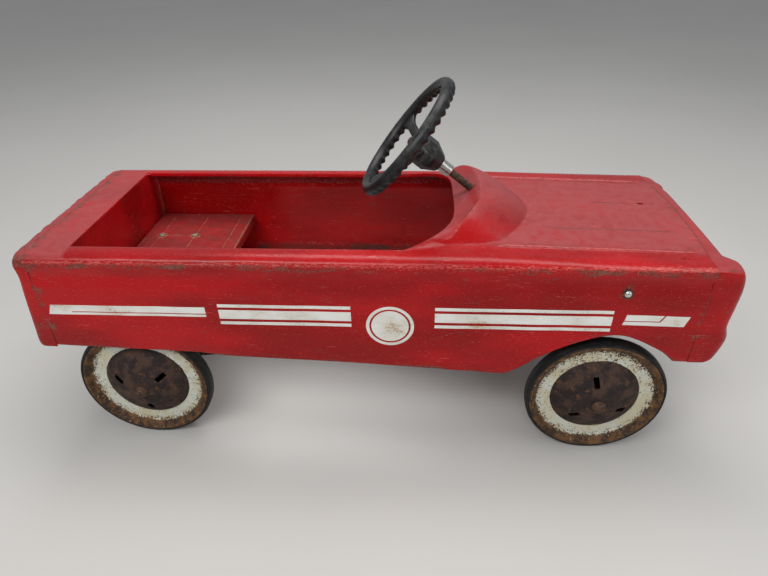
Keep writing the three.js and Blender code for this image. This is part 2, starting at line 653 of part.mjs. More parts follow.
function columnBracket() {
  const [half, side] = [28.5, STRIP];
  const plateX = [262, 262 + STRIP];
  const plate = block(plateX, [-half, half], [207, 240]);
  const cheeks = SIDES.map((s) => block([262, 312], [s * (half - side), s * half], [CROSS_Z + GAP, 224]));
  const low = block([262, CROSS_X[0] - 2], [-half - 2, half + 2], [CROSS_Z - 3, 207]);
  const feet = SIDES.map((s) => block([292, 312], [s * (half - side), s * 40], [CROSS_Z + GAP, CROSS_Z + 3]));
  const at = (x) => WHEEL_CENTRE.clone().addScaledVector(columnAxis, (x - WHEEL_CENTRE.x) / columnAxis.x);
  const hole = rod(at(245).toArray(), at(275).toArray(), AXLE_R + 0.5, 18);
  add("column_bracket", cut(join(plate, ...cheeks, ...feet), hole, low), bareSteel);
}

// A deep-dished wheel: its hub lies behind the rim, and the spokes slant back to it.
function steeringWheel() {
  const rim = new THREE.TorusGeometry(RIM_R, RIM_TUBE_R, 8, 36);
  rim.rotateX(Math.PI / 2).scale(1, RIM_DEPTH, 1).translate(0, -2, 0);
  const hub = turned([[0, -14], [17, -14], [20.5, -20], [20.5, -40], [11, -57], [0, -57]], 8);
  hub.rotateY(Math.PI / 8).scale(1.3, 1, 0.9);
  // one spoke to each side and one down
  const line = [[10, -18], [24, -19], [77, 2], [77, -5], [26, -27], [10, -30]];
  const spokes = [0, 90, 180].map((degrees) =>
    prism("z", line, -8.5, 8.5).rotateY(THREE.MathUtils.degToRad(degrees)),
  );
  const bore = rod([0, -70, 0], [0, 0, 0], BORE_R, 16);
  add("steering_wheel", alongColumn(cut(join(rim, hub, ...spokes), bore), 0), blackPlastic);
  const cap = turned([[0, -4], [5, -5], [8, -8], [9, -13.6], [BORE_R, -13.6], [BORE_R, -8], [0, -8]], 18);
  add("steering_nut", alongColumn(cap, 0), brightSteel);
  const collar = turned([[BORE_R, -57.4], [8, -57.4], [8, -73], [7, -75], [BORE_R, -75]], 18);
  add("steering_collar", alongColumn(collar, 0), brightSteel);
}

// ---- the car ----------------------------------------------------------------------------------------------------

SIDES.forEach(sidePanel);
hoodCowl();
rearDeck();
nosePanel();
tailPanel();
seatBack();
seatPan();
for (const side of SIDES) {
  wheel("front", side, FRONT_AXLE_X, FRONT_WHEEL_Y, FRONT_SLOT_TURN);
  wheel("rear", side, REAR_AXLE_X, REAR_WHEEL_Y, REAR_SLOT_TURN);
  axleHanger(side);
  pedalDrive(side);
  sideBolt(side);
  kingPinBracket(side);
  spindle(side);
}
crankAxle();
hangerRod();
frontCrossMember();
tieRod();
steeringColumn();
columnBracket();
steeringWheel();

export default car;
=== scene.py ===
"""A child's pedal car with a pressed steel body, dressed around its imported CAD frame.

Metres, +Z up, +X towards the nose, +Y to the driver's left. Lengths are written in millimetres and
scaled by MM.
"""

import math

import bmesh
import bpy
from mathutils import Matrix, Vector, noise


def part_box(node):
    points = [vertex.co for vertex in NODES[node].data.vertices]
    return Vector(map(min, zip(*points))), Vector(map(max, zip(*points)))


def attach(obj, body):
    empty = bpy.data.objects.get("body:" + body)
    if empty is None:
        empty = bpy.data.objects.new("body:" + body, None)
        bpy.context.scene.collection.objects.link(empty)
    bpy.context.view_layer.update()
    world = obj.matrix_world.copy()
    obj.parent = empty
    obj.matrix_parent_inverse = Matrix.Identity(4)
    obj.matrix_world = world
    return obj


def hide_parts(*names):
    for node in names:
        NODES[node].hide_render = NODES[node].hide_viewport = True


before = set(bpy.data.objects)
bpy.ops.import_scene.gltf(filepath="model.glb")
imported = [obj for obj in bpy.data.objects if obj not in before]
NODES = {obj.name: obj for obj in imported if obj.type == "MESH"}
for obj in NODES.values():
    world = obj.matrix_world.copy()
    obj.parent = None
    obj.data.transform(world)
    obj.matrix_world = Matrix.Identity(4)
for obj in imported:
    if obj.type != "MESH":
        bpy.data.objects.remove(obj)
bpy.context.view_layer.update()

MM = 0.001
SIDES = {"right": -1, "left": 1}

# Body shell, as in the CAD frame
STEEL = 1.2  # thickness shown
SHOULDER_Y, SHOULDER_Z = 143, 290
SILL_Y, SILL_Z = 140, 150
RAIL_Y, ROUND_FROM = 119, 126
RAIL_RISE, RAIL_FRONT_RISE, RAIL_FALL_X = 11, 3, 150
TAIL_SEAM, NOSE_SEAM, DECK_X = -410.5, 395.5, -362.2
NOSE_TIP, TAIL_TIP = 440, -440
HEM = 5  # depth of the fold round the cockpit
SILL_FOLD = 5
BEAD_Y = 106  # embossed beads along the hood
GROOVE_Y = (-55, 25)
GROOVE_START = (222, 290)
COWL_HOLE = Vector((123.5, 0, 333))
SIDE_BOLT_X, SIDE_BOLT_Z = 302.5, 259.5
MEDALLION_X, MEDALLION_Z = 27.5, 206.5
TRIM_LIFT, TRIM_FOOT = 0.16, -0.3  # faces of the white trim, from the wall

# Seat
SEAT_Z, SEAT_BACK, SEAT_FRONT, SEAT_HALF = 223, -360.2, -208, 139.1
SEAT_RIBS = (-335, -281, -226)
SEAT_BOLTS, SEAT_BOLT_Y = (-333, -281), 60
BACK_HALF = 137.4  # of the panel behind the seat

# Wheels and axles
WHEEL_R = 90.7
AXLES = {"front": (296.8, 119, 100), "rear": (-313.4, 113, 35)}  # x, middle y, degrees to the first slot
DISH_R, BAND_R = 57.5, 74.8
AXLE_R = 4.75
AXLE_END = 36.5  # outwards from a wheel's middle plane

# Steering
WHEEL_CENTRE = Vector((42.5, 0, 398))
COLUMN = (COWL_HOLE - WHEEL_CENTRE).normalized()
RIM_R, RIM_TUBE = 79.5, 7.5
GRIPS = 40  # finger scallops round the rim
SHAFT_TOP = 8.4  # below the rim's plane

# Camera, as fitted: place in metres, yaw, pitch and roll in degrees, lens for a 36 mm sensor
CAMERA_AT, CAMERA_TURN, CAMERA_LENS = (0.0601, -0.7103, 0.6300), (-3.912, 32.8, -1.244), 27.04


# ---- numbers and points ----

def lerp(a, b, t):
    return a + (b - a) * t


def clamp(x, low=0.0, high=1.0):
    return min(max(x, low), high)


def smooth(low, high, x):
    t = clamp((x - low) / (high - low))
    return t * t * (3 - 2 * t)


def near(x, middle, width):
    """1 at middle, falling to 0 at width from it."""
    return 1 - smooth(0, width, abs(x - middle))


def steps(low, high, count):
    return [lerp(low, high, i / count) for i in range(count + 1)]


def rough(p, size, seed=0.0):
    """Smooth seeded unevenness from -1 to 1, with features of about size mm."""
    return noise.noise(Vector(p) / size + Vector((seed, 7.1 * seed, 3.3 * seed)))


def catmull(points, per_span):
    """A smooth line through a run of points."""
    line = []
    for i in range(len(points) - 1):
        p0, p1 = points[max(i - 1, 0)], points[i]
        p2, p3 = points[i + 1], points[min(i + 2, len(points) - 1)]
        for k in range(per_span):
            t = k / per_span
            line.append(tuple(
                0.5 * (2 * b + (c - a) * t + (2 * a - 5 * b + 4 * c - d) * t**2
                       + (3 * b - a - 3 * c + d) * t**3)
                for a, b, c, d in zip(p0, p1, p2, p3)))
    return line + [tuple(points[-1])]


def height_on(line, x):
    """Height at x on a line of (x, z) points that runs forwards."""
    for (xa, za), (xb, zb) in zip(line, line[1:]):
        if xa <= x <= xb and xb > xa:
            return lerp(za, zb, (x - xa) / (xb - xa))
    return line[0][1] if x < line[0][0] else line[-1][1]


# ---- materials ----

class Shade:
    """A material, with its node tree built by short calls. Patterns are in the object's own coordinates."""

    def __init__(self, name, **constants):
        self.material = bpy.data.materials.new(name)
        self.material.use_nodes = True
        self.tree = self.material.node_tree
        self.shader = next(n for n in self.tree.nodes if n.type == "BSDF_PRINCIPLED")
        self.place = self.tree.nodes.new("ShaderNodeTexCoord").outputs["Object"]
        for socket, value in constants.items():
            self.shader.inputs[socket.replace("_", " ")].default_value = value

    def node(self, kind, inputs=(), **settings):
        made = self.tree.nodes.new(kind)
        for key, value in settings.items():
            setattr(made, key, value)
        for key, value in dict(inputs).items():
            if isinstance(value, bpy.types.NodeSocket):
                self.tree.links.new(value, made.inputs[key])
            else:
                made.inputs[key].default_value = value
        return made

    def noise(self, size, detail=4.0, stretch=(1, 1, 1), turn=(0, 0, 0), offset=0.0, rough=0.55):
        """Noise from about 0.25 to 0.75, with features of about size mm."""
        scale = [1 / (size * MM * s) for s in stretch]
        mapped = self.node("ShaderNodeMapping", {"Vector": self.place, "Rotation": turn, "Scale": scale,
                                                "Location": (offset, offset * 1.7, offset * 0.6)})
        made = self.node("ShaderNodeTexNoise", {"Vector": mapped.outputs[0], "Scale": 1.0, "Detail": detail,
                                               "Roughness": rough})
        return made.outputs["Fac"]

    def attribute(self, name):
        return self.node("ShaderNodeAttribute", attribute_name=name).outputs["Fac"]

    def math(self, operation, a, b, clamped=False):
        made = self.node("ShaderNodeMath", {0: a, 1: b}, operation=operation)
        made.use_clamp = clamped
        return made.outputs[0]

    def plus(self, a, b):
        return self.math("ADD", a, b)

    def times(self, a, b, clamped=False):
        return self.math("MULTIPLY", a, b, clamped)

    def ramp(self, value, low, high):
        """0 up to low, 1 from high on, smooth between."""
        made = self.node("ShaderNodeMapRange", {"Value": value, "From Min": low, "From Max": high},
                         interpolation_type="SMOOTHSTEP")
        return made.outputs["Result"]

    def mix(self, share, a, b):
        made = self.node("ShaderNodeMix", {"Factor": share}, data_type="RGBA")
        for socket, value in ((6, a), (7, b)):
            if isinstance(value, bpy.types.NodeSocket):
                self.tree.links.new(value, made.inputs[socket])
            else:
                made.inputs[socket].default_value = (*value, 1)
        return made.outputs[2]

    def blend(self, share, a, b):
        """A number between a and b."""
        return self.node("ShaderNodeMix", {"Factor": share, 2: a, 3: b}, data_type="FLOAT").outputs[0]

    def finish(self, color, roughness=None, height=None, bump=0.3, depth=0.5):
        self.tree.links.new(color, self.shader.inputs["Base Color"])
        if roughness is not None:
            self.tree.links.new(roughness, self.shader.inputs["Roughness"])
        if height is not None:
            made = self.node("ShaderNodeBump", {"Height": height, "Strength": bump, "Distance": depth * MM})
            self.tree.links.new(made.outputs["Normal"], self.shader.inputs["Normal"])
        return self.material


RUST_DARK, RUST_BROWN, RUST_ORANGE = (0.022, 0.013, 0.009), (0.085, 0.038, 0.019), (0.24, 0.085, 0.022)
CHIP_BROWN = (0.25, 0.105, 0.075)
RED_DEEP, RED_BRIGHT, RED_RUBBED = (0.26, 0.0012, 0.0018), (0.43, 0.0025, 0.0045), (0.33, 0.060, 0.062)
# the pink is for scratches and for painted highlights; the grime colour is for dirt and for painted shade
PINK_SCRATCH_AND_HIGHLIGHT, TAN_WORN, GRIME_AND_SHADE = (0.62, 0.17, 0.15), (0.34, 0.17, 0.095), (0.085, 0.028, 0.022)


def red_paint():
    """Old red enamel: rubbed and dusty where it faces up, chipped to brown steel where it wears, with painted
    highlights and painted shade. Attributes
    give the share of each mark: wear (chips), dust (dust, and a painted highlight inside the walls), scuff
    (light scratches and painted highlights), line (a tan rubbed line) and grime (dirt, and painted shade)."""
    s = Shade("red_enamel", Specular_IOR_Level=0.24)
    wear, dust = s.attribute("wear"), s.attribute("dust")
    base = s.mix(s.ramp(s.noise(70, 3, stretch=(3, 1, 1)), 0.35, 0.65), RED_DEEP, RED_BRIGHT)
    mottle = s.ramp(s.noise(14, 8, rough=0.68, offset=1.3), 0.25, 0.62)
    rubbed = s.times(s.plus(s.times(mottle, 0.55), 0.45), dust, True)
    base = s.mix(rubbed, base, RED_RUBBED)
    # dark grime: dirt, and painted shade where the grime attribute marks the seams, the hood's grooves, the
    # beads' inner sides and the foot of the inside wall
    dirty = s.ramp(s.noise(26, 7, rough=0.66, offset=12.1), 0.36, 0.62)
    grime = s.times(s.attribute("grime"), s.plus(s.times(dirty, 0.6), 0.4), True)
    base = s.mix(grime, base, GRIME_AND_SHADE)
    # fine streaks along the car and in two slanting directions
    streaks = s.ramp(s.noise(1.0, 2, stretch=(30, 1, 1), offset=5.2), 0.66, 0.73)
    slant = s.ramp(s.noise(0.9, 2, stretch=(24, 24, 1), turn=(0.5, 0.7, 0.35), offset=8.8), 0.68, 0.75)
    where = s.ramp(s.plus(s.noise(45, 3, offset=2.4), s.times(wear, 0.12)), 0.47, 0.62)
    scratch = s.times(s.math("MAXIMUM", streaks, slant), where)
    base = s.mix(s.times(scratch, 0.6), base, PINK_SCRATCH_AND_HIGHLIGHT)
    # light pink scuffs, which are painted highlights where the scuff attribute is high: along the shoulder,
    # on the beads, on the hump's crest and foot, and inside the walls
    scuffs_and_highlights = s.plus(s.noise(1.2, 6, rough=0.72, stretch=(3.5, 1, 1), offset=14.2),
                    s.times(s.attribute("scuff_and_highlight"), 0.2))
    base = s.mix(s.times(s.ramp(scuffs_and_highlights, 0.60, 0.71), 0.62), base, PINK_SCRATCH_AND_HIGHLIGHT)
    # chips: rare on the flats, close together along worn edges
    speck = s.noise(1.7, 5, rough=0.62, offset=4.4)
    patch = s.noise(11, 6, rough=0.64, stretch=(2.6, 1, 1), offset=6.1)
    level = s.plus(s.times(speck, 0.5), s.times(patch, 0.5))
    chips = s.ramp(s.plus(level, s.times(wear, 0.19)), 0.64, 0.672)
    stain = s.ramp(s.plus(patch, s.times(wear, 0.26)), 0.58, 0.80)
    base = s.mix(s.times(stain, 0.6), base, (0.15, 0.035, 0.028))
    bared = s.ramp(s.noise(3.5, 6, rough=0.7, offset=10.4), 0.40, 0.60)
    bared = s.mix(bared, (0.100, 0.036, 0.026), CHIP_BROWN)
    base = s.mix(s.times(chips, 0.9), base, bared)
    line = s.ramp(s.plus(s.attribute("line"), s.times(s.noise(5, 6, offset=3.3), 0.7)), 0.75, 1.05)
    base = s.mix(line, base, TAN_WORN)
    gloss = s.plus(s.times(rubbed, 0.32), s.times(mottle, 0.07))
    roughness = s.blend(s.math("MAXIMUM", chips, line), s.plus(gloss, 0.19), 0.85)
    height = s.math("SUBTRACT", s.noise(30, 3, offset=9.0), s.times(chips, 0.06))
    return s.finish(base, roughness, height, bump=0.22, depth=3.0)


def wheel_metal():
    """A wheel disc by radius: bare rusty dish, white painted band, rusty rolled rim. The attribute speckle
    gives the share of rust spots on the band."""
    s = Shade("wheel_disc", Specular_IOR_Level=0.3)
    radius = s.attribute("radius")
    grime = s.noise(7, 8, rough=0.7, offset=2.2)
    fine = s.noise(2.0, 5, rough=0.65, offset=5.5)
    brown = s.ramp(s.noise(17, 6, offset=7.7), 0.42, 0.62)
    brown = s.mix(brown, (0.018, 0.012, 0.011), (0.060, 0.031, 0.022))
    brown = s.mix(s.ramp(grime, 0.53, 0.70), brown, (0.13, 0.055, 0.022))
    brown = s.mix(s.ramp(fine, 0.60, 0.72), brown, (0.010, 0.008, 0.007))
    paint = s.mix(s.ramp(s.noise(22, 5, offset=1.9), 0.38, 0.66), (0.60, 0.61, 0.53), (0.55, 0.50, 0.34))
    # the white band is eaten away from both edges and in spots
    wander = s.times(s.math("SUBTRACT", s.noise(6, 5, offset=6.6), 0.5), 6.0)
    inside = s.ramp(s.plus(radius, s.times(wander, 0.25)), DISH_R - 0.2, DISH_R + 0.4)
    outside = s.ramp(s.plus(radius, wander), BAND_R + 1.6, BAND_R - 0.6)
    band = s.times(inside, outside)
    rim_side = s.ramp(radius, 66.0, 76.0)
    pits = s.plus(s.times(fine, 0.65), s.times(grime, 0.35))
    pits = s.plus(pits, s.times(s.attribute("speckle"), 0.05))
    pits = s.ramp(s.plus(pits, s.times(rim_side, 0.08)), 0.575, 0.615)
    rim = s.ramp(s.noise(11, 7, rough=0.68, offset=8.1), 0.40, 0.64)
    rim = s.mix(rim, (0.038, 0.023, 0.015), (0.15, 0.070, 0.025))
    rim = s.mix(s.ramp(s.noise(3.2, 5, offset=9.3), 0.60, 0.70), rim, (0.30, 0.19, 0.09))
    metal = s.mix(s.ramp(radius, 64.0, 66.0), brown, rim)
    stained = s.mix(s.ramp(pits, 0.0, 0.6), paint, (0.33, 0.17, 0.05))
    painted = s.mix(pits, stained, rim)
    color = s.mix(band, metal, painted)
    roughness = s.blend(s.times(band, s.math("SUBTRACT", 1.0, pits)), 0.74, 0.42)
    height = s.plus(s.times(fine, 0.5), s.times(grime, 0.6))
    return s.finish(color, roughness, height, bump=0.45, depth=0.8)


def bare_steel():
    """Mottled brown rust, dark in its pits."""
    s = Shade("rusty_steel", Metallic=0.15)
    grime = s.noise(4, 7, rough=0.68)
    patches = s.mix(s.ramp(s.noise(8.0, 8, rough=0.7), 0.38, 0.66), RUST_DARK, RUST_BROWN)
    color = s.mix(s.ramp(s.noise(3.6, 6, offset=3.1), 0.55, 0.72), patches, RUST_ORANGE)
    return s.finish(color, s.plus(s.times(grime, 0.4), 0.5), grime, bump=0.4, depth=0.6)


def spotted_steel(name, metallic, spread, clean, spotted, roughness, bump):
    """Steel with rust spots, whose colour and roughness are given clean and spotted."""
    s = Shade(name, Metallic=metallic)
    spots = s.ramp(s.noise(2.2, 6, rough=0.7), *spread)
    return s.finish(s.mix(spots, clean, spotted), s.blend(spots, *roughness), s.noise(3, 4), bump, 0.3)


def rubber():
    s = Shade("tyre_rubber", Specular_IOR_Level=0.3)
    dirt = s.ramp(s.noise(9, 7, rough=0.7), 0.45, 0.75)
    color = s.mix(s.times(dirt, 0.45), (0.007, 0.007, 0.008), (0.060, 0.050, 0.040))
    return s.finish(color, s.plus(s.times(dirt, 0.3), 0.5), s.noise(1.5, 5), bump=0.25, depth=0.3)


def black_plastic():
    s = Shade("black_moulding", Specular_IOR_Level=0.32)
    dust = s.ramp(s.noise(18, 7, rough=0.68), 0.40, 0.74)
    worn = s.times(dust, s.plus(s.attribute("dust"), 0.16), True)
    color = s.mix(worn, (0.009, 0.009, 0.010), (0.125, 0.120, 0.112))
    color = s.mix(s.times(s.ramp(s.noise(1.2, 2, stretch=(14, 1, 1), turn=(0.4, 0.2, 0.9)), 0.68, 0.75), 0.3),
                  color, (0.3, 0.3, 0.29))
    return s.finish(color, s.plus(s.times(worn, 0.35), 0.36), s.noise(1.0, 3), bump=0.1, depth=0.2)


def white_plastic():
    s = Shade("aged_nylon", Subsurface_Weight=0.05)
    stain = s.ramp(s.noise(5, 6), 0.42, 0.7)
    return s.finish(s.mix(stain, (0.66, 0.62, 0.52), (0.38, 0.29, 0.18)), s.blend(stain, 0.45, 0.7),
                    s.noise(1.2, 3), bump=0.1, depth=0.2)


def white_decal():
    """White painted trim, chipped to the red under it and stained brown in places."""
    s = Shade("white_trim", Specular_IOR_Level=0.4)
    fine = s.noise(2.4, 5, rough=0.65, offset=3.7)
    patch = s.noise(24, 5, stretch=(1.6, 1, 1), offset=0.9)
    stain = s.ramp(s.plus(s.times(fine, 0.4), s.times(patch, 0.6)), 0.55, 0.66)
    color = s.mix(s.ramp(patch, 0.3, 0.7), (0.80, 0.79, 0.75), (0.66, 0.63, 0.55))
    color = s.mix(s.times(stain, 0.8), color, (0.42, 0.25, 0.10))
    color = s.mix(s.ramp(s.noise(1.8, 4, offset=7.4), 0.67, 0.71), color, RED_BRIGHT)
    return s.finish(color, s.plus(s.times(stain, 0.3), 0.4), fine, bump=0.1, depth=0.2)


RED, DISC, STEEL_BROWN = red_paint(), wheel_metal(), bare_steel()
PLATED = spotted_steel("plated_steel", 1.0, (0.56, 0.66), (0.66, 0.65, 0.62), (0.20, 0.13, 0.08),
                       (0.22, 0.7), 0.12)
RUBBER, PLASTIC, NYLON, DECAL = rubber(), black_plastic(), white_plastic(), white_decal()
DULL = spotted_steel("dull_steel", 0.3, (0.42, 0.58), (0.34, 0.29, 0.22), (0.17, 0.09, 0.05),
                     (0.42, 0.75), 0.15)


# ---- meshes ----

def grid(nu, nv, point, closed_u=False, closed_v=False):
    """Points and faces of a grid of nu by nv cells; point(i, j) gives each point."""
    rows, columns = nu + (not closed_u), nv + (not closed_v)
    points = [point(i, j) for i in range(rows) for j in range(columns)]
    faces = []
    for i in range(nu):
        for j in range(nv):
            a, b = (i + 1) % rows, (j + 1) % columns
            faces.append((i * columns + j, a * columns + j, a * columns + b, i * columns + b))
    return points, faces


def capped(parts, sides):
    """A tube of points and faces, with both ends closed."""
    points, faces = parts
    return points, faces + [tuple(range(sides)), tuple(reversed(range(len(points) - sides, len(points))))]


def merged(*parts):
    points, faces = [], []
    for more_points, more_faces in parts:
        start = len(points)
        points += list(more_points)
        faces += [tuple(start + i for i in face) for face in more_faces]
    return points, faces


def piece(name, parts, material, body, replaces=(), slot=None, sharp=38, steel=0, outward=None, values=None,
          bevel=0, weld=0.02):
    """A mesh from points in mm. steel gives an open surface that thickness, on its inner side. outward is a
    point that the first face looks away from. values gives vertex attributes as functions of the point and
    the normal."""
    mesh = bpy.data.meshes.new(name)
    points, faces = parts
    mesh.from_pydata([Vector(p) * MM for p in points], [], faces)
    bm = bmesh.new()
    bm.from_mesh(mesh)
    bmesh.ops.remove_doubles(bm, verts=bm.verts, dist=weld * MM)
    bmesh.ops.dissolve_degenerate(bm, dist=weld * MM * 0.2, edges=bm.edges)
    bmesh.ops.recalc_face_normals(bm, faces=bm.faces)
    if outward is not None:
        bm.faces.ensure_lookup_table()
        face = bm.faces[0]
        if face.normal.dot(face.calc_center_median() - Vector(outward) * MM) < 0:
            bmesh.ops.reverse_faces(bm, faces=bm.faces)
    if steel:
        bmesh.ops.solidify(bm, geom=bm.faces, thickness=steel * MM)
        bmesh.ops.recalc_face_normals(bm, faces=bm.faces)
    if bevel:
        edges = [e for e in bm.edges if len(e.link_faces) == 2 and e.calc_face_angle(0) > math.radians(sharp)]
        bmesh.ops.bevel(bm, geom=edges, offset=bevel * MM, segments=2, affect="EDGES", profile=0.6)
    for face in bm.faces:
        face.smooth = True
    for edge in bm.edges:
        edge.smooth = edge.calc_face_angle(0) < math.radians(sharp)
    bm.to_mesh(mesh)
    bm.free()
    for key, value in (values or {}).items():
        layer = mesh.attributes.new(key, "FLOAT", "POINT")
        numbers = [value(v.co / MM, n.vector) for v, n in zip(mesh.vertices, mesh.vertex_normals)]
        layer.data.foreach_set("value", numbers)
    made = bpy.data.objects.new(name, mesh)
    bpy.context.scene.collection.objects.link(made)
    mesh.materials.append(material)
    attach(made, body)
    if replaces:
        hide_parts(*replaces)
    return made


def placed(parts, matrix):
    points, faces = parts
    return [matrix @ Vector(p) for p in points], faces


def lathe(profile, segments, wobble=None):
    """Points and faces turned about the Y axis from (radius, y) points: a ring unless it meets the axis."""
    closed = profile[0][0] > 0 and profile[-1][0] > 0
    turns = [2 * math.pi * j / segments for j in range(segments)]

    def point(i, j):
        r, y = profile[i % len(profile)]
        if wobble:
            y += wobble(r, turns[j])
        return (r * math.cos(turns[j]), y, r * math.sin(turns[j]))

    count = len(profile) if closed else len(profile) - 1
    return grid(count, segments, point, closed_u=closed, closed_v=True)


def tube(path, radius, sides=20):
    """A round bar along a path of points, with its section carried along without twist."""
    path = [Vector(p) for p in path]
    tangents = [(b - a).normalized() for a, b in zip([path[0]] + path, path[1:] + [path[-1]])]
    side = tangents[0].orthogonal().normalized()
    rings = []
    for before, at, along in zip([tangents[0]] + tangents, path, tangents):
        side = before.rotation_difference(along) @ side
        other = along.cross(side)
        rings.append([at + (side * math.cos(a) + other * math.sin(a)) * radius
                      for a in (2 * math.pi * k / sides for k in range(sides))])
    return capped(grid(len(path) - 1, sides, lambda i, j: rings[i][j], closed_v=True), sides)


def rounded(corners, bend, count=6):
    """A path through corners, each rounded by an arc that starts bend before it."""
    corners = [Vector(c) for c in corners]
    path = [corners[0]]
    for before, at, after in zip(corners, corners[1:], corners[2:]):
        a = at + (before - at).normalized() * bend
        b = at + (after - at).normalized() * bend
        path += [a.lerp(at, t).lerp(at.lerp(b, t), t) for t in steps(0, 1, count)]
    return path + [corners[-1]]


def box(x, y, z):
    points = [(a, b, c) for a in x for b in y for c in z]
    return points, [(0, 1, 3, 2), (4, 6, 7, 5), (0, 4, 5, 1), (2, 3, 7, 6), (0, 2, 6, 4), (1, 5, 7, 3)]


def drilled(made, tools):
    """Cuts closed tool meshes out of a piece, and keeps its vertex attributes."""
    for i, parts in enumerate(tools):
        mesh = bpy.data.meshes.new("tool")
        mesh.from_pydata([Vector(p) * MM for p in parts[0]], [], parts[1])
        tool = bpy.data.objects.new("tool", mesh)
        bpy.context.scene.collection.objects.link(tool)
        cut = made.modifiers.new(f"hole_{i}", "BOOLEAN")
        cut.operation, cut.object, cut.solver = "DIFFERENCE", tool, "EXACT"
    bpy.context.view_layer.update()
    graph = bpy.context.evaluated_depsgraph_get()
    mesh = bpy.data.meshes.new_from_object(made.evaluated_get(graph), preserve_all_data_layers=True,
                                           depsgraph=graph)
    for modifier in list(made.modifiers):
        tool = modifier.object
        made.modifiers.remove(modifier)
        bpy.data.objects.remove(tool)
    made.data = mesh


# ---- body shell ----

SILL = [(TAIL_SEAM, 164.6), (-219.5, 157), (-187.5, 152), (-24.5, 145), (171.5, 132)]
ARCH = [(171.5, 132), (183.5, 138), (243.5, 179), (302.5, 198), (353.5, 178), (377.5, 159)]
BOTTOM = SILL[:-1] + catmull(ARCH, 16) + [(NOSE_SEAM, 158.5)]


def rail_rise(x):
    return lerp(RAIL_RISE, RAIL_FRONT_RISE, clamp((x - RAIL_FALL_X) / (NOSE_SEAM - RAIL_FALL_X)))


def wall_y(z):
    """The side's distance from the middle, drawn in a little below the shoulder."""
    straight = SILL_Y + (SHOULDER_Y - SILL_Y) * (z - SILL_Z) / (SHOULDER_Z - SILL_Z)
    return straight - 2.6 * smooth(252, 273, z) * smooth(285, 273, z)


def edge_x(y):
    return 106.5 - 60 * (abs(y) / 118) ** 4.8


def crest_x(y):
    return 139 - 45 * (abs(y) / 105) ** 3.2


def foot_x(y):
    out = abs(y)
    return max(204 - 15 * (out / 50) ** 1.7 - 58 * smooth(94, 114, out), crest_x(y) + 6)


def seam_x(y):
    """The hood's front edge, bowed a little towards the nose."""
    return NOSE_SEAM + 5 * max(0.0, 1 - (y / RAIL_Y) ** 2)


def edge_z(y):
    return SHOULDER_Z + RAIL_RISE + 17 * max(0, 1 - (abs(y) / 118) ** 4.5)


def crest_z(y):
    return SHOULDER_Z + RAIL_RISE + 35.7 * max(0, 1 - (abs(y) / 105) ** 6)


def hood_z(x, y):
    z = SHOULDER_Z + rail_rise(x) + 3 * (1 - (y / RAIL_Y) ** 2)
    ends = smooth(150, 160, x) * smooth(386, 378, x)
    z += 2.0 * near(abs(y), BEAD_Y, 3.4) * ends
    for line, start in zip(GROOVE_Y, GROOVE_START):
        z -= 0.9 * near(y, line, 1.8) * smooth(start, start + 4, x) * smooth(379, 376, x)
    return z + 0.5 * rough((x, y, 0), 60, 2.0) * smooth(RAIL_Y, RAIL_Y - 10, abs(y))


def side_rows(x):
    """Points of the side's section at x, from the fold at the sill up to the rail, as y and z."""
    low = height_on(BOTTOM, x)
    y0 = wall_y(low)
    rows = [(y0 - SILL_FOLD, low + 0.6), (y0 - 3.5, low + 0.3), (y0 - 1.6, low + 0.4), (y0 - 0.5, low + 1.0)]
    rows += [(wall_y(z), z) for z in steps(low + 2, 286, 22)]
    for k in range(11):
        a = math.radians(9 * k)
        rows.append((lerp(ROUND_FROM, SHOULDER_Y, math.cos(a)), SHOULDER_Z + rail_rise(x) * math.sin(a)))
    return rows + [(122.5, SHOULDER_Z + rail_rise(x)), (RAIL_Y, SHOULDER_Z + rail_rise(x))]


def dent(x, y, z):
    """Small dents of an old pressed body, in mm along the surface's normal."""
    return 0.55 * rough((x, y, z), 48, 1.0) + 0.25 * rough((x, y, z), 19, 4.0)


ACROSS = sorted(set(
    steps(-RAIL_Y, RAIL_Y, 40)
    + [side * (BEAD_Y + d) for side in (-1, 1) for d in (-3.4, -2.2, -1.1, 0, 1.1, 2.2, 3.4)]
    + [line + d for line in GROOVE_Y for d in (-1.8, -0.9, 0, 0.9, 1.8)]
))
BAND_CELLS, HUMP_CELLS, HOOD_CELLS = 8, 26, 70


def hood_point(i, y):
    """Point of the cowl and hood: the band behind the crest, the hump in front of it, then the hood."""
    foot = foot_x(y)
    if i <= BAND_CELLS:
        t = i / BAND_CELLS
        z = lerp(edge_z(y), crest_z(y), t) - 1.6 * math.sin(math.pi * t) * (1 - (abs(y) / RAIL_Y) ** 2)
        return (lerp(edge_x(y), crest_x(y), t), y, z)
    if i <= BAND_CELLS + HUMP_CELLS:
        t = (i - BAND_CELLS) / HUMP_CELLS
        fall = lerp(t**1.4, 0.35 * t + 0.65 * t**2, 0.5)
        return (lerp(crest_x(y), foot, t), y, lerp(crest_z(y), hood_z(foot, y), fall))
    left = 1 - (i - BAND_CELLS - HUMP_CELLS) / HOOD_CELLS
    x = lerp(foot, seam_x(y), 1 - left**1.3)
    return (x, y, hood_z(x, y))


HOOD_ROWS = BAND_CELLS + HUMP_CELLS + HOOD_CELLS
HOOD_SIDE_X = [hood_point(i, RAIL_Y)[0] for i in range(HOOD_ROWS + 1)]
DECK_STATIONS = [TAIL_SEAM, TAIL_SEAM + 1.2] + steps(TAIL_SEAM + 4, DECK_X, 11)
STATIONS = DECK_STATIONS + steps(DECK_X, HOOD_SIDE_X[0], 96)[1:] + HOOD_SIDE_X[1:]


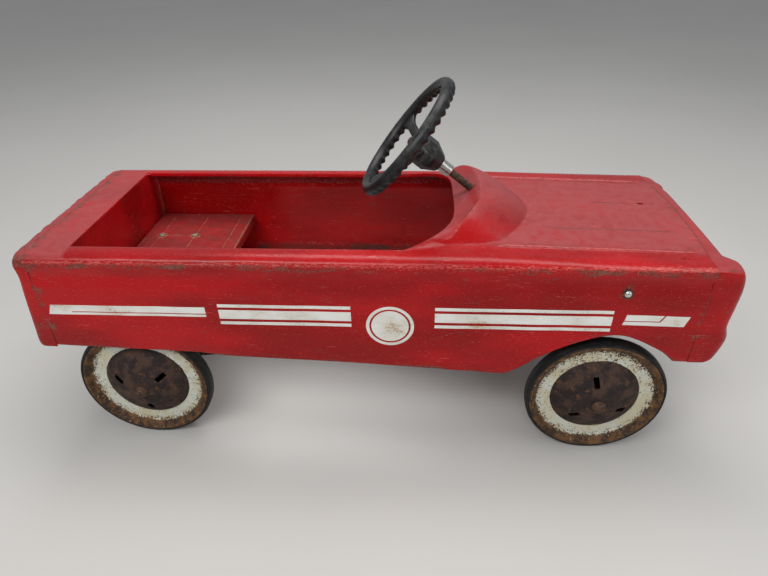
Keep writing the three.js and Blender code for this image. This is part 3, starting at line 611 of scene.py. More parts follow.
def body_wear(p, n):
    x, y, z = p
    out = abs(y)
    low = height_on(BOTTOM, x)
    ends = 0.62 + 0.3 * smooth(-60, -330, x) + 0.3 * smooth(150, 300, x)
    shoulder = near(z, 287.5, 7.5) * smooth(136, 139, out) * ends
    sill = 0.6 * smooth(8, 1, z - low) * smooth(134, 138, out)
    tail = 0.72 * smooth(18, 2, x - TAIL_SEAM)
    nose = 0.42 * smooth(12, 1, NOSE_SEAM - x)
    rail = 0.3 * near(out, RAIL_Y - 1, 4) * smooth(295, 298, z)
    crest = 0.45 * near(x, crest_x(y), 4) * smooth(310, 320, z)
    hole = 0.85 * smooth(15, 7, (p - COWL_HOLE).length)
    bead = 0.3 * near(out, BEAD_Y, 4) * smooth(150, 160, x) * smooth(286, 290, z)
    bolt = 0.7 * smooth(12, 6, math.dist((x, out, z), (SIDE_BOLT_X, SHOULDER_Y, SIDE_BOLT_Z)))
    inside = 0.25 if n.y * y < 0 and z < 284 else 1
    return clamp(max(shoulder, sill, tail, nose, rail, crest, hole, bead, bolt) * inside)


def body_dust_and_highlight(p, n):
    x, y, z = p
    up = smooth(0.55, 0.95, n.z)
    # inside the wall, the swelling under the shoulder gets a painted highlight, with some dust
    if n.y * y < 0 and abs(y) > RAIL_Y:  # inside the wall, on the swelling under the shoulder
        return 0.75 * near(z, 285, 7) * smooth(-0.1, 0.35, n.z)
    if x < DECK_X + 3:
        return 0.8 * up
    if x < 40:
        return 0.1 * up
    hood = smooth(116, 96, abs(y)) * up
    hump = 1 - 0.35 * smooth(305, 330, z) * smooth(-10, -60, y)
    return clamp(0.1 * up + 0.85 * hood * hump)


def body_scuff_and_highlight(p, n):
    """Light rubbed scratches and painted highlights: a painted highlight along the shoulder, the hood's beads
    and the hump's crest and foot;
    inside the wall, a painted highlight on the swelling and a painted light line near the foot; a few
    scratches everywhere.
    """
    x, y, z = p
    out = abs(y)
    if n.y * y < 0 and out > RAIL_Y:
        # painted highlight on the swelling inside the wall, and a painted light line along the inside wall
        # just above its darkened foot
        swelling = 0.7 * near(z, 279, 9) * smooth(-0.1, 0.3, n.z)
        return max(swelling, 0.5 * near(z, 169, 4) * smooth(-214, -206, x))
    # painted highlight along the top of the shoulder, with rubbed scratches in it
    shoulder = 0.85 * near(z, 292, 4.5) * smooth(134, 138, out)
    # painted highlight along the crests of the hood's beads
    bead = near(out, BEAD_Y, 2.4) * smooth(156, 162, x) * smooth(286, 290, z) * smooth(386, 380, x)
    # painted highlight lines along the hump's crest and along its foot
    crest = 0.55 * near(x, crest_x(y), 4) * smooth(304, 312, z)
    foot = 0.45 * near(x, foot_x(y) + 2, 5) * smooth(113, 100, out) * smooth(286, 290, z)
    return clamp(max(shoulder, bead, crest, foot, 0.05))


def body_grime_and_shade(p, n):
    """Dirt and painted shade: dirt and painted shade in the hood's grooves, painted shadow along the front
    and rear seams, and painted shade on the inner sides of the beads and at the foot of the inside wall.
    """
    x, y, z = p
    # painted shadow in the front and rear seams
    seam = 1 - smooth(0.5, 1.6, min(seam_x(y) - x, x - TAIL_SEAM))
    if n.y * y < 0 and z < 170:  # the foot of the inside wall, darkened as painted shade
        return 0.95 * smooth(168, 166, z) * smooth(-214, -206, x) * smooth(70, 60, x)
    if n.z < 0.5 or x < 150:
        return seam
    # dirt and painted shade in the hood's grooves
    grooves = max(near(y, line, 1.7) * smooth(start, start + 6, x)
                  for line, start in zip(GROOVE_Y, GROOVE_START))
    # painted shade along the inner side of the hood's beads
    far_line = near(abs(y), BEAD_Y - 3.6, 1.6) * smooth(170, 180, x)
    return clamp(max(seam, max(grooves * 1.2, 0.7 * far_line) * smooth(380, 376, x)))


def body_tub():
    parts = []
    for side in SIDES.values():
        rows = [side_rows(x) for x in STATIONS]

        def on_side(i, j):
            x = STATIONS[i]
            y, z = rows[i][j]
            settle = smooth(150, 170, z) * smooth(300, 292, z) * smooth(TAIL_SEAM, TAIL_SEAM + 25, x)
            settle *= 1 - smooth(NOSE_SEAM - 25, NOSE_SEAM, x)
            return (x, side * (y + dent(x, side * y, z) * settle), z)

        parts.append(grid(len(STATIONS) - 1, len(rows[0]) - 1, on_side))
    hood = grid(HOOD_ROWS, len(ACROSS) - 1, lambda i, j: hood_point(i, ACROSS[j]))
    # a short slot is open at the end of the left groove
    slot = [f for f in hood[1] if all(354 < hood[0][i][0] < 364 and 23 < hood[0][i][1] < 27 for i in f)]
    parts.append((hood[0], [f for f in hood[1] if f not in slot]))

    # rear deck, folded down in front
    deck_x = DECK_STATIONS + [DECK_X + 0.8, DECK_X + 1.2, DECK_X + 1.2]
    deck_drop = [0] * len(DECK_STATIONS) + [0.3, 1.2, HEM]
    deck_y = steps(-RAIL_Y, RAIL_Y, 40)
    top = SHOULDER_Z + RAIL_RISE

    def on_deck(i, j):
        x, y = deck_x[i], deck_y[j]
        inner = smooth(RAIL_Y, RAIL_Y - 12, abs(y))
        wave = 1.7 * rough((x * 0.5, y, 0), 14, 6.0) * smooth(TAIL_SEAM + 26, TAIL_SEAM + 6, x) * inner
        return (x, y, top - deck_drop[i] + wave)

    parts.append(grid(len(deck_x) - 1, len(deck_y) - 1, on_deck))

    # the fold round the rest of the cockpit
    loop = [(x, -RAIL_Y, top) for x in STATIONS if DECK_X <= x < HOOD_SIDE_X[0] - 0.01]
    loop += [hood_point(0, y) for y in ACROSS]
    loop += [(x, RAIL_Y, top) for x in reversed(STATIONS) if DECK_X <= x < HOOD_SIDE_X[0] - 0.01]
    inward = []
    for k in range(len(loop)):
        a, b = Vector(loop[max(k - 1, 0)]), Vector(loop[min(k + 1, len(loop) - 1)])
        along = (b - a).normalized()
        inward.append(Vector((-along.y, along.x, 0)).normalized())
    fold = ((0, 0), (0.7, 0.25), (1.1, 1.1), (1.1, HEM))

    def on_fold(i, j):
        (x, y, z), (out, down) = loop[i], fold[j]
        return (x + inward[i].x * out, y + inward[i].y * out, z - down)

    parts.append(grid(len(loop) - 1, len(fold) - 1, on_fold))

    tub = piece("body_tub", merged(*parts), RED, "body_shell",
                ["side_panel_right", "side_panel_left", "hood_cowl", "rear_deck"], "red_paint", steel=STEEL,
                outward=(0, 0, 200), sharp=28,
                values={"wear": body_wear, "dust": body_dust_and_highlight, "scuff_and_highlight": body_scuff_and_highlight, "grime": body_grime_and_shade})
    along = COLUMN * 30
    hole = tube([COWL_HOLE - along, COWL_HOLE + along], 6.6, 24)
    bolt_holes = [tube([(SIDE_BOLT_X, side * y, SIDE_BOLT_Z) for y in (130, 150)], 3.8, 16)
                  for side in SIDES.values()]
    drilled(tub, [hole, *bolt_holes])


def end_skin(name, node, profile, seam, front):
    """The nose or tail pressing: a profile swept across the car, drawn in to its seam at both corners."""
    line = catmull(profile, 8)
    half = wall_y(200) + 0.2
    top = profile[0][1]
    corner_from = 112
    turns = steps(math.asin((corner_from / half) ** 4), math.pi / 2, 18)
    corner = [half * math.sin(t) ** (1 / 4) for t in turns]
    ys = [-y for y in reversed(corner)] + steps(-corner_from, corner_from, 60)[1:-1] + corner

    def point(i, j):
        y, (px, pz) = ys[i], line[j]
        reach = max(0.0, 1 - (abs(y) / half) ** 8) ** (1 / 8)
        if front:  # the left corner has been pushed in
            reach *= 1 - 0.42 * smooth(84, 126, y) * smooth(205, 245, pz)
            reach *= 1 - 0.36 * smooth(114, 98, abs(y)) * smooth(202, 214, pz)
        out = clamp((abs(y) - ROUND_FROM) / (SHOULDER_Y - ROUND_FROM))
        drop = rail_rise(seam) * (1 - math.sqrt(1 - out * out)) * clamp((pz - 265) / (top - 265))
        x = lerp(seam + (seam_x(y) - NOSE_SEAM if front else 0) * smooth(262, 288, pz), px, reach)
        inner = 1 - smooth(84, 96, abs(y))
        if front:  # upright ribs of a plain grille in the recess
            band = smooth(216, 221, pz) * smooth(267, 262, pz)
            x += 1.6 * math.cos(math.pi * y / 8.0) * band * inner
        else:  # one shallow recessed panel
            band = smooth(186, 192, pz) * smooth(262, 256, pz)
            edge = smooth(290, 297, pz)
            x += 2.4 * band * inner + 1.8 * rough((0, y, 0), 11, 3.0) * edge
            pz += 1.3 * rough((0, y, 0), 12, 6.0) * edge * smooth(124, 112, abs(y))
        z = pz - drop - (0.6 if pz > 270 else 0)
        return (x, y + 0.3 * rough((x, y, z), 30, 5), z + 0.35 * rough((x, y, z), 30, 9))

    def wear(p, n):
        low = 0.66 * smooth(178, 160, p.z)
        corner = (0.5 if front else 0.85) * near(p.z, 289, 16) * smooth(118, 138, abs(p.y))
        edge = 0.4 * near(p.z, 297, 6)
        face = 0.12 if front else 0.3
        return clamp(max(low, corner, edge, face))

    piece(name, grid(len(ys) - 1, len(line) - 1, point), RED, "body_shell", [node], "red_paint",
          steel=STEEL, outward=(0, 0, 226), sharp=60,
          values={"wear": wear, "dust": lambda p, n: 0.75 * smooth(0.55, 0.95, n.z)})


def seat():
    """The pressed seat: folded edges, a raised middle panel, three cross ribs and one by the bolts."""
    xs = sorted(set(steps(SEAT_BACK + 3, SEAT_FRONT - 4, 70) + [-350, -348.6, -223.4, -222]))
    ys = steps(-SEAT_HALF + 2.5, SEAT_HALF - 2.5, 124)

    def top(x, y):
        z = SEAT_Z + 1.0 * smooth(48, 45, abs(y)) * smooth(-351, -348, x) * smooth(-221, -224, x)
        ribs = max(near(x, rib, 3.2) for rib in SEAT_RIBS) * smooth(128, 122, abs(y))
        beside = near(abs(y), SEAT_BOLT_Y, 3.0) * smooth(-337, -333, x) * smooth(-280, -284, x)
        z += 1.1 * max(ribs, beside)
        for bx in SEAT_BOLTS:
            z += (SEAT_Z + 0.2 - z) * smooth(9, 6.5, math.hypot(x - bx, abs(y) - SEAT_BOLT_Y))
        return z + 0.35 * rough((x, y, 0), 40, 3.0)

    # the folded edge all round, as distance outwards from the flat top and drop below it
    rows_x = [SEAT_BACK + 0.4, SEAT_BACK + 1.2] + xs + [SEAT_FRONT - 2.2, SEAT_FRONT - 0.8, SEAT_FRONT - 0.2]
    rows_y = [-SEAT_HALF + 0.2, -SEAT_HALF + 0.9] + ys + [SEAT_HALF - 0.9, SEAT_HALF - 0.2]

    def point(i, j):
        x, y = rows_x[i], rows_y[j]
        over_x = max(0.0, (SEAT_BACK + 3) - x, x - (SEAT_FRONT - 4))
        over_y = max(0.0, abs(y) - (SEAT_HALF - 2.5))
        over = max(over_x / 3.6, over_y / 2.3)
        return (x, y, top(x, y) - 2.6 * over**2.2)

    nx, ny = len(rows_x), len(rows_y)
    body = grid(nx - 1, ny - 1, point)
    edge = [(i, 0) for i in range(nx)] + [(nx - 1, j) for j in range(1, ny)]
    edge += [(i, ny - 1) for i in range(nx - 2, -1, -1)] + [(0, j) for j in range(ny - 2, 0, -1)]

    def on_skirt(i, j):
        x, y, z = point(*edge[i])
        return (x, y, lerp(z, SEAT_Z - 14, j / 3))

    skirt = grid(len(edge), 3, on_skirt, closed_u=True)

    def wear(p, n):
        lip = 0.5 * near(p.x, SEAT_FRONT - 1, 5) + 0.4 * smooth(8, 0, p.x - SEAT_BACK)
        bolts = max(0.5 * smooth(13, 6, math.hypot(p.x - bx, abs(p.y) - SEAT_BOLT_Y)) for bx in SEAT_BOLTS)
        return clamp(max(lip, bolts, 0.26) if n.z > 0.2 else 0.2)

    def line(p, n):
        ribs = max(near(p.x, rib, 2.0) for rib in SEAT_RIBS) * smooth(130, 124, abs(p.y))
        beside = near(abs(p.y), SEAT_BOLT_Y, 1.8) * smooth(-337, -333, p.x) * smooth(-280, -284, p.x)
        border = 0.8 * near(abs(p.y), 46.0, 1.8)
        lip = 0.9 * near(p.x, SEAT_FRONT - 2.2, 2.4)
        bolts = max(near(math.hypot(p.x - bx, abs(p.y) - SEAT_BOLT_Y), 7.2, 2.6) for bx in SEAT_BOLTS)
        return 0.72 * max(ribs, beside, border, lip, bolts) if n.z > 0.2 else 0

    piece("seat_pressing", merged(body, skirt), RED, "body_shell", ["seat_pan"], "red_paint", steel=STEEL,
          outward=(-280, 0, 100), sharp=50,
          values={"wear": wear, "line": line, "grime": lambda p, n: 0.45,
                  "dust": lambda p, n: 0.42 * smooth(0.4, 0.9, n.z)})


def seat_back():
    """The panel that closes the cockpit behind the seat, flanged where it meets the sides."""
    ys = steps(-BACK_HALF, BACK_HALF, 60)
    zs = steps(SEAT_Z - 10, 299, 26)

    def half_at(z):
        return min(BACK_HALF, 118 + 19.4 * math.sqrt(clamp((298.6 - z) / 10.5)))

    def point(i, j):
        z = zs[j]
        y = ys[i] / BACK_HALF * half_at(z)
        above = smooth(SEAT_Z, SEAT_Z + 8, z)
        x = DECK_X + 1.0 + (0.5 + 0.5 * rough((0, y, z), 45, 8.0)) * above
        return (x + 4.5 * smooth(0.965, 1.0, abs(ys[i]) / BACK_HALF) * above, y, z)

    def wear(p, n):
        return clamp(0.5 * smooth(126, 136, abs(p.y)) + 0.2 * smooth(240, 224, p.z))

    piece("seat_back_panel", grid(60, 26, point), RED, "body_shell", ["seat_back"], "red_paint", steel=0.8,
          outward=(-500, 0, 260), sharp=50,
          values={"wear": wear, "dust": lambda p, n: 0.05,
                  "scuff_and_highlight": lambda p, n: 0.6 * smooth(131, 136, abs(p.y))})


def decals():
    """Plain white trim on both sides: two split bars, sets of speed lines and a plain round medallion."""
    for name, side in SIDES.items():

        def on_wall(x, z, lift):
            uneven = dent(x, side * wall_y(z), z) * smooth(150, 170, z)
            return (x, side * (wall_y(z) + uneven + lift), z)

        def plate(a, b, c, d):
            """A thin plate on the wall, its lower edge from a to b and its upper edge from c to d."""
            along, up = 24, 4

            def point(i, j, lift):
                t, s = i / along, j / up
                x, z = (lerp(lerp(a[k], b[k], t), lerp(c[k], d[k], t), s) for k in (0, 1))
                return on_wall(x, z, lift)

            faces = [grid(along, up, lambda i, j, lift=lift: point(i, j, lift))
                     for lift in (TRIM_LIFT, TRIM_FOOT)]
            rim = [(i, 0) for i in range(along)] + [(along, j) for j in range(up)]
            rim += [(i, up) for i in range(along, 0, -1)] + [(0, j) for j in range(up, 0, -1)]
            edge = grid(len(rim), 1, lambda i, j: point(*rim[i], TRIM_LIFT if j else TRIM_FOOT),
                        closed_u=True)
            return merged(*faces, edge)

        def bar(x0, x1, z0, z1):
            return plate((x0, z0), (x1, z0), (x0, z1), (x1, z1))

        def disc(inner, outer):
            """A thin ring on the wall round the medallion's middle."""

            def point(i, r, lift):
                a = 2 * math.pi * i / 64
                return on_wall(MEDALLION_X + r * math.cos(a), MEDALLION_Z + r * math.sin(a), lift)

            faces = [grid(64, 2, lambda i, j, lift=lift: point(i, lerp(inner, outer, j / 2), lift),
                          closed_u=True)
                     for lift in (TRIM_LIFT, TRIM_FOOT)]
            edges = [grid(64, 1, lambda i, j, r=r: point(i, r, TRIM_LIFT if j else TRIM_FOOT),
                          closed_u=True)
                     for r in (inner, outer) if r]
            return merged(*faces, *edges)

        # rear bar: a solid block with a slanted end, then two lines with a thin gap between them
        parts = [plate((-402.3, 215.9), (-371.5, 215.9), (-397, 230.3), (-371.5, 230.3)),
                 bar(-371.5, -200.5, 220.8, 230.3), bar(-371.5, -200.5, 215.9, 219.4)]
        # speed lines behind and in front of the medallion
        for x0, x1 in ((-184, -20), (82, 292)):
            parts += [bar(x0, x1, z0, z1) for z0, z1 in ((205, 209.5), (213.5, 227), (231, 235.5))]
        # front bar: slanted at both ends, with a thin gap that turns up to the top
        parts += [plate((304.5, 215.4), (345, 214.4), (305.8, 220.1), (348, 219.9)),
                  plate((345, 214.4), (376.5, 213.6), (353, 229.2), (380.9, 228.4)),
                  plate((306.2, 221.4), (346.4, 221.2), (307.5, 230.2), (351, 229.4))]
        shared = dict(material=DECAL, body="body_shell", slot="red_paint", weld=0.001, sharp=50)
        piece("trim_" + name, merged(*parts), **shared)
        piece("medallion_" + name, merged(disc(0, 23.0), disc(25.5, 29.5)), **shared)


# ---- wheels ----

DISC_LINE = [
    (5.7, 31.9), (9, 31.8), (13, 31.5), (19, 30.6), (26, 28.8), (33, 25.9), (40, 22.0), (47, 17.2),
    (52, 13.5), (55.5, 10.9), (57, 9.5), (57.8, 8.8), (58.8, 8.7), (62, 9.2), (68, 9.5), (72, 9.0),
    (74.3, 9.3), (76, 10.9), (78.5, 14.2), (81, 17.3), (82.6, 18.6), (84.2, 18.9), (85.6, 18.4), (86, 17.7),
]
BACK_LINE = [
    (5.3, 29.7), (9.4, 29.7), (9.5, -9.8), (14, -8.6), (30, -2.9), (46, 3.1), (54, 5.9), (58, 6.9),
    (74.2, 7.0), (77, 5.1), (80, 2.0), (82.2, -0.1), (84.6, -0.1), (85.6, -0.9), (84.8, -1.8),
    (81.8, -1.5), (79, 1.1), (76.2, 4.0), (73.8, 5.7), (57.8, 5.7), (54.4, 4.7), (46, 1.7), (30, -4.4),
    (12.6, -11.2), (12, -12.4), (12, -15.6), (11.4, -16), (5.3, -16),
]
TREAD_LINE = [
    (77.7, 5.5), (77.7, 9.4), (83.1, 16.0), (85.9, 16.6), (86.4, 17.8), (87.3, 18.6), (88.2, 18.4),
    (88.7, 17.3), (88.8, 16.3), (89.6, 16.3), (90.1, 15.3), (90.0, 14.3), (90.6, 13.6), (90.7, 12),
    (90.7, 8.5), (90.7, 5), (90.6, 3.4), (90.0, 2.7), (90.1, 1.7), (89.6, 0.7), (88.8, 0.7), (88.7, -0.3),
    (88.2, -1.4), (87.3, -1.6), (86.4, -0.8), (85.9, 0.4), (83.1, 1.0),
]


def shifted(line, distance):
    """A profile moved by distance to the inner side of the line."""
    moved = []
    for k, at in enumerate(line):
        a, b = Vector(line[max(k - 1, 0)]), Vector(line[min(k + 1, len(line) - 1)])
        along = (b - a).normalized()
        moved.append((at[0] + along.y * distance, at[1] - along.x * distance))
    return moved


def wheel(place, name, side, body):
    x, middle, first = AXLES[place]
    at = Matrix.Translation((x, side * middle, WHEEL_R))
    flip = at @ Matrix.Scale(side, 4, Vector((0, 1, 0)))
    seed = x * 0.01 + side
    tag = f"{place}_{name}"

    def wobble(r, a):
        at = Vector((math.cos(a) * r / 16, math.sin(a) * r / 16, seed))
        return 0.35 * noise.noise(at) * smooth(8, 20, r) * smooth(88, 78, r)

    def from_axle(p, n):
        return math.hypot(p.x - x, p.z - WHEEL_R)

    def speckle(p, n):
        return smooth(WHEEL_R - 10, WHEEL_R + 60, p.z) if place == "front" else 0.2

    shared = {"radius": from_axle, "speckle": speckle}
    outer = DISC_LINE + shifted(DISC_LINE, 1.1)[::-1]
    disc = piece(tag + "_disc", placed(lathe(outer, 96, wobble), flip), DISC, body,
                 [tag + "_wheel_outer"], "wheel_paint", values=shared, sharp=55)
    slots = []
    for k in range(3):
        turn = Matrix.Rotation(-math.radians(first + 120 * k), 4, "Y")
        slots.append(placed(box((27, 41), sorted((side * 10, side * 36)), (-3.6, 3.6)), at @ turn))
    drilled(disc, slots)
    piece(tag + "_back_disc", placed(lathe(BACK_LINE, 72), flip), DISC, body, [tag + "_wheel_inner"],
          "wheel_paint", values=shared, sharp=50)
    piece(tag + "_tyre_ring", placed(lathe(TREAD_LINE, 128), flip), RUBBER, body, [tag + "_tyre"],
          "black_rubber", sharp=60)
    cap = [(0.001, 40.9), (2.5, 40.7), (5.2, 39.6), (7.4, 37.2), (8.3, 35), (9.0, 34.4), (9.6, 33.2),
           (9.6, 32.4), (5.3, 32.4), (5.3, 37), (0.001, 37)]
    piece(tag + "_cap", placed(lathe(cap, 40), flip), STEEL_BROWN, body, [tag + "_axle_cap"], "bare_steel",
          sharp=50)


# ---- steering wheel ----

def on_column(parts):
    """From the wheel's own frame: X across the car, Y towards the driver, Z up the wheel's face."""
    towards = -COLUMN
    across = Vector((0, 1, 0))
    up = across.cross(towards)
    turn = Matrix((across, towards, up)).transposed().to_4x4()
    return placed(parts, Matrix.Translation(WHEEL_CENTRE) @ turn)


def steering_wheel():
    """A deep-dished wheel: its hub lies behind the rim, and the spokes slant back to it."""
    around, sides = GRIPS * 8, 24

    def on_rim(i, j):
        a = 2 * math.pi * i / around
        b = 2 * math.pi * j / sides
        scallop = (0.5 + 0.5 * math.cos(GRIPS * a)) ** 0.7 * smooth(0.2, -0.5, math.sin(b))
        section = RIM_TUBE - 2.3 * scallop
        r = RIM_R + section * math.cos(b)
        return (r * math.cos(a), section * 1.15 * math.sin(b) - 2, r * math.sin(a))

    rim = grid(around, sides, on_rim, closed_u=True, closed_v=True)

    def spoke(degrees):
        """A slanting arm with rounded edges, widest where it runs into the rim."""
        cells, corners = 14, 16

        def point(i, j):
            t = i / cells
            r = lerp(16, RIM_R - 2, t)
            half = 6.4 + 3.2 * smooth(0.3, 0, t) + 8.5 * smooth(0.62, 1, t) ** 1.6
            deep = lerp(4.6, 3.4, smooth(0, 0.5, t))
            a = 2 * math.pi * j / corners
            y = deep * math.copysign(abs(math.sin(a)) ** 0.6, math.sin(a))
            z = half * math.copysign(abs(math.cos(a)) ** 0.6, math.cos(a))
            return (r, y + lerp(-23, -2.4, clamp((r - 24) / 53)), z)

        arm = capped(grid(cells, corners, point, closed_v=True), corners)
        return placed(arm, Matrix.Rotation(math.radians(degrees), 4, "Y"))

    # the hub is a block with eight flat sides, wider across the car, drawn in at both ends, with a round bore
    hub_rows = [(17, 11.5, -14), (23, 15.5, -15.2), (27.5, 18.6, -19), (28.6, 19.6, -24), (28.6, 19.6, -40),
                (25, 17.4, -44), (15.5, 11.5, -56), (14, 10.4, -57), (5.8, 5.8, -57), (5.8, 5.8, -14)]

    def on_hub(i, j):
        wide, high, y = hub_rows[i % len(hub_rows)]
        a = math.radians(22.5 + 45 * j)
        return (wide * math.cos(a), y, high * math.sin(a))

    hub = grid(len(hub_rows), 8, on_hub, closed_u=True, closed_v=True)

    def dust(p, n):
        offset = p - WHEEL_CENTRE
        deep = offset.dot(COLUMN)
        from_axis = (offset - COLUMN * deep).length
        hub = smooth(12, 18, deep) * smooth(48, 40, deep) * smooth(40, 32, from_axis)
        return clamp(0.3 * smooth(0.2, 0.9, n.z) + hub * smooth(-0.3, -0.75, n.y))

    common = dict(material=PLASTIC, body="steering", slot="black_plastic", values={"dust": dust})
    piece("steering_rim", on_column(rim), replaces=["steering_wheel"], sharp=70, **common)
    for degrees, name in ((0, "left"), (90, "lower"), (180, "right")):
        piece("steering_spoke_" + name, on_column(spoke(degrees)), sharp=50, **common)
    piece("steering_hub", on_column(hub), sharp=30, bevel=1.2, **common)

    nut = [(0.001, -5.6), (3, -5.9), (5.2, -7.2), (6.2, -9.2), (6.4, -13.6), (5.4, -13.6), (5.4, -8.0),
           (0.001, -8.0)]
    piece("steering_cap_nut", on_column(lathe(nut, 32)), STEEL_BROWN, "steering", ["steering_nut"],
          "bright_steel")
    # threaded collar, its grooves as rings
    collar = [(5.3, -57.5), (8.2, -57.5)]
    for k in range(7):
        y = -58.8 - 2.1 * k
        collar += [(8.2, y), (7.3, y - 0.6), (7.3, y - 1.2), (8.2, y - 1.7)]
    collar += [(7.0, -74.6), (5.3, -74.6)]
    piece("steering_collar_nut", on_column(lathe(collar, 32)), PLATED, "steering", ["steering_collar"],
          "bright_steel", sharp=50)


def column_bar():
    """The bent round bar from the wheel to the cranked tip, on the CAD node's line."""
    crank = Vector((COLUMN.z, 0, -COLUMN.x))
    tie_x = AXLES["front"][0] - 36
    turn_x = tie_x - 30 * crank.x
    corner = WHEEL_CENTRE + COLUMN * ((turn_x - WHEEL_CENTRE.x) / COLUMN.x)
    path = rounded([WHEEL_CENTRE + COLUMN * SHAFT_TOP, corner, corner + crank * 34], 8, 8)
    piece("steering_shaft", tube(path, AXLE_R, 24), STEEL_BROWN, "steering", ["steering_column"],
          "bare_steel")


# ---- axles, bolts and pedals ----

def crank_bar():
    """The rear axle, with a crank throw on each side."""
    x, middle, _ = AXLES["rear"]
    end = middle + AXLE_END
    run = [(-end, 0), (-70, 0), (-70, 38), (-46, 38), (-46, 0), (46, 0), (46, -38), (70, -38), (70, 0),
           (end, 0)]
    path = rounded([(x + dx, y, WHEEL_R) for y, dx in run], 6, 5)
    piece("crank_bar", tube(path, AXLE_R), STEEL_BROWN, "rear_axle", ["crank_axle"], "bare_steel")


def spindle_bar(name, side):
    """A front axle end, bent outwards from its upright king pin."""
    x, middle, _ = AXLES["front"]
    run = [(x, side * 88, 214), (x, side * 88, WHEEL_R), (x, side * (middle + AXLE_END), WHEEL_R)]
    piece("spindle_bar_" + name, tube(rounded(run, 9, 6), AXLE_R), STEEL_BROWN, "knuckle_" + name,
          ["spindle_" + name], "bare_steel")


def pedal_block(name, side):
    """A rubber pedal block with ribs moulded along its top and bottom."""
    low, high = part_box("pedal_" + name)
    x0, x1, z0, z1 = low.x / MM, high.x / MM, low.z / MM, high.z / MM
    y0, y1 = sorted((side * 12, side * 54))
    cx, cz = (x0 + x1) / 2, (z0 + z1) / 2
    xs = steps(x0 + 2, x1 - 2, 24)
    groove = [1.4 if k % 4 in (2, 3) and 0 < k < 24 else 0 for k in range(25)]
    above = [(x, z1 - deep) for x, deep in zip(xs, groove)]
    below = [(x, z0 + deep) for x, deep in zip(xs, groove)]
    outline = above + [(x1, cz + 4), (x1, cz - 4)] + below[::-1] + [(x0, cz - 4), (x0, cz + 4)]
    count = len(outline)
    points = [(x, y, z) for y in (y0, y1) for x, z in outline]
    faces = [(k, (k + 1) % count, count + (k + 1) % count, count + k) for k in range(count)]
    pedal = piece("pedal_block_" + name, capped((points, faces), count), RUBBER, "pedal_" + name,
                  ["pedal_" + name], "black_rubber", sharp=25)
    drilled(pedal, [tube([(cx, y0 - 3, cz), (cx, y1 + 3, cz)], 4.4, 20)])


def fasteners(name, side):
    """The side bolt, a bright domed head on a dark washer, and the seat's two rivets."""
    at = Matrix.Translation((SIDE_BOLT_X, side * wall_y(SIDE_BOLT_Z), SIDE_BOLT_Z))
    at = at @ Matrix.Scale(side, 4, Vector((0, 1, 0)))
    head = [(0.001, 3.8), (1.8, 3.6), (3.4, 2.8), (4.3, 1.7), (4.6, 1.1), (4.6, 0.9), (3.6, 0.9), (3.6, -18),
            (0.001, -18)]
    piece("side_bolt_head_" + name, placed(lathe(head, 32), at), PLATED, "body_shell", ["side_bolt_" + name],
          "bright_steel", sharp=45)
    washer = [(3.7, 0.2), (6.4, 0.2), (6.6, 0.8), (3.7, 0.9)]
    piece("side_washer_" + name, placed(lathe(washer, 32), at), STEEL_BROWN, "body_shell", slot="bare_steel",
          sharp=45)
    rivet = [(0.001, 3.2), (2.2, 3.0), (4.0, 2.1), (4.9, 1.0), (4.9, 0.4), (3.0, 0.4), (3.0, -14),
             (0.001, -14)]
    for k, x in enumerate(SEAT_BOLTS):
        at = Matrix.Translation((x, side * SEAT_BOLT_Y, SEAT_Z)) @ Matrix.Rotation(math.pi / 2, 4, "X")
        piece(f"seat_rivet_{name}_{k + 1}", placed(lathe(rivet, 24), at), DULL, "body_shell",
              [f"seat_bolt_{name}_{k + 1}"], "bright_steel", sharp=45)


def plain_nodes():
    """CAD nodes that stay in sight: a small bevel, and the finish of their metal or plastic."""
    finishes = {"axle_bushing": NYLON, "pedal_pin": PLATED, "drive_pin": PLATED}
    for name, node in NODES.items():
        if node.hide_render:
            continue
        node.data.materials.clear()
        finish = next((m for key, m in finishes.items() if name.startswith(key)), STEEL_BROWN)
        node.data.materials.append(finish)
        bevel = node.modifiers.new("edges", "BEVEL")
        bevel.width, bevel.segments, bevel.limit_method = 0.35 * MM, 2, "ANGLE"
        bevel.angle_limit = math.radians(40)
        for face in node.data.polygons:
            face.use_smooth = False


# ---- floor, lights and camera ----

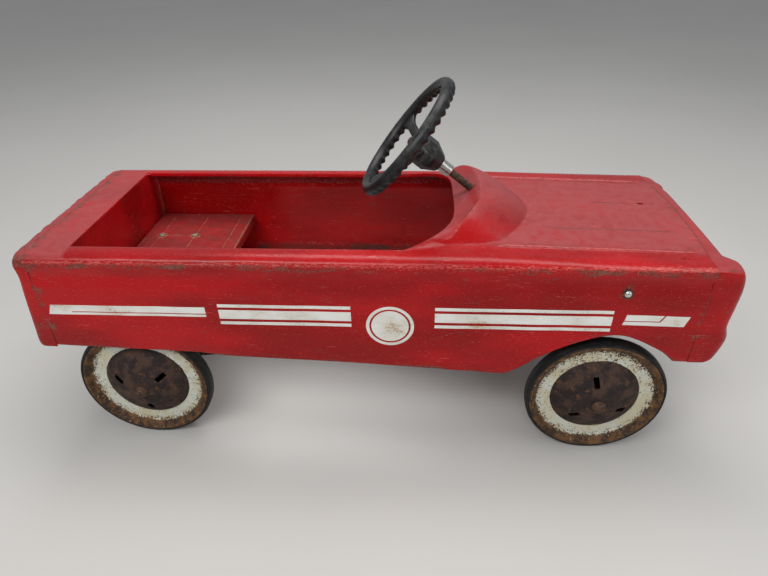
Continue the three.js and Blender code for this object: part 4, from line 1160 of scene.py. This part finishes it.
def surroundings():
    scene = bpy.context.scene
    scene.view_settings.view_transform = "Standard"
    mesh = bpy.data.meshes.new("floor")
    mesh.from_pydata([(x, y, 0) for x, y in ((-6, -6), (6, -6), (6, 6), (-6, 6))], [], [(0, 1, 2, 3)])
    floor = bpy.data.objects.new("floor", mesh)
    scene.collection.objects.link(floor)
    s = Shade("floor_paint", Roughness=0.75)
    tone = s.mix(s.noise(600, 2), (0.50, 0.485, 0.46), (0.56, 0.545, 0.52))
    mesh.materials.append(s.finish(tone))

    world = bpy.data.worlds.new("studio")
    world.use_nodes = True
    background = world.node_tree.nodes["Background"]
    background.inputs["Color"].default_value = (0.93, 0.96, 1.0, 1)
    background.inputs["Strength"].default_value = 0.38
    scene.world = world

    aim = Vector((0, 0, 0.2))
    for name, place, width, depth, power in (
        ("key", (-0.7, -1.5, 1.9), 1.8, 0.5, 27),
        ("overhead", (0.2, 0.35, 2.1), 2.2, 0.7, 27),
        ("fill", (1.6, -1.0, 1.0), 1.2, 1.2, 6),
    ):
        light = bpy.data.lights.new(name, "AREA")
        light.shape, light.size, light.size_y, light.energy = "RECTANGLE", width, depth, power
        lamp = bpy.data.objects.new(name, light)
        scene.collection.objects.link(lamp)
        lamp.location = place
        lamp.rotation_euler = (aim - Vector(place)).to_track_quat("-Z", "Y").to_euler()

    # the photograph's viewing angle
    yaw, pitch, roll = (math.radians(angle) for angle in CAMERA_TURN)
    forward = Vector((math.sin(yaw) * math.cos(pitch), math.cos(yaw) * math.cos(pitch), -math.sin(pitch)))
    level = Vector((math.cos(yaw), -math.sin(yaw), 0))
    up = level.cross(forward)
    right = level * math.cos(roll) + up * math.sin(roll)
    upright = up * math.cos(roll) - level * math.sin(roll)
    camera = bpy.data.objects.new("camera", bpy.data.cameras.new("camera"))
    camera.data.lens, camera.data.sensor_width = CAMERA_LENS, 36
    camera.data.clip_start = 0.01
    turn = Matrix((right, upright, -forward)).transposed().to_4x4()
    camera.matrix_world = Matrix.Translation(CAMERA_AT) @ turn
    scene.collection.objects.link(camera)
    scene.camera = camera


# ---- the car ----

surroundings()
body_tub()
end_skin("nose_skin", "nose_panel", [
    (NOSE_SEAM - 1, 292.3), (415.5, 291.5), (429.5, 288), (436.5, 279.5), (439, 262), (437.5, 236),
    (435.5, 212), (NOSE_TIP, 192), (432, 166), (424, 160)], NOSE_SEAM - 1, True)
end_skin("tail_skin", "tail_panel", [
    (TAIL_SEAM + 1, 300.4), (-420.5, 300), (-428.5, 294.5), (-431.5, 286), (-430, 277), (-429.5, 266),
    (-433, 240), (-438, 192), (TAIL_TIP, 169), (-436.5, 163.5)], TAIL_SEAM + 1, False)
seat()
seat_back()
decals()
for side_name, sign in SIDES.items():
    wheel("front", side_name, sign, "front_wheel_" + side_name)
wheel("rear", "left", 1, "rear_axle")
wheel("rear", "right", -1, "free_wheel")
steering_wheel()
column_bar()
crank_bar()
for side_name, sign in SIDES.items():
    spindle_bar(side_name, sign)
    pedal_block(side_name, sign)
    fasteners(side_name, sign)
plain_nodes()
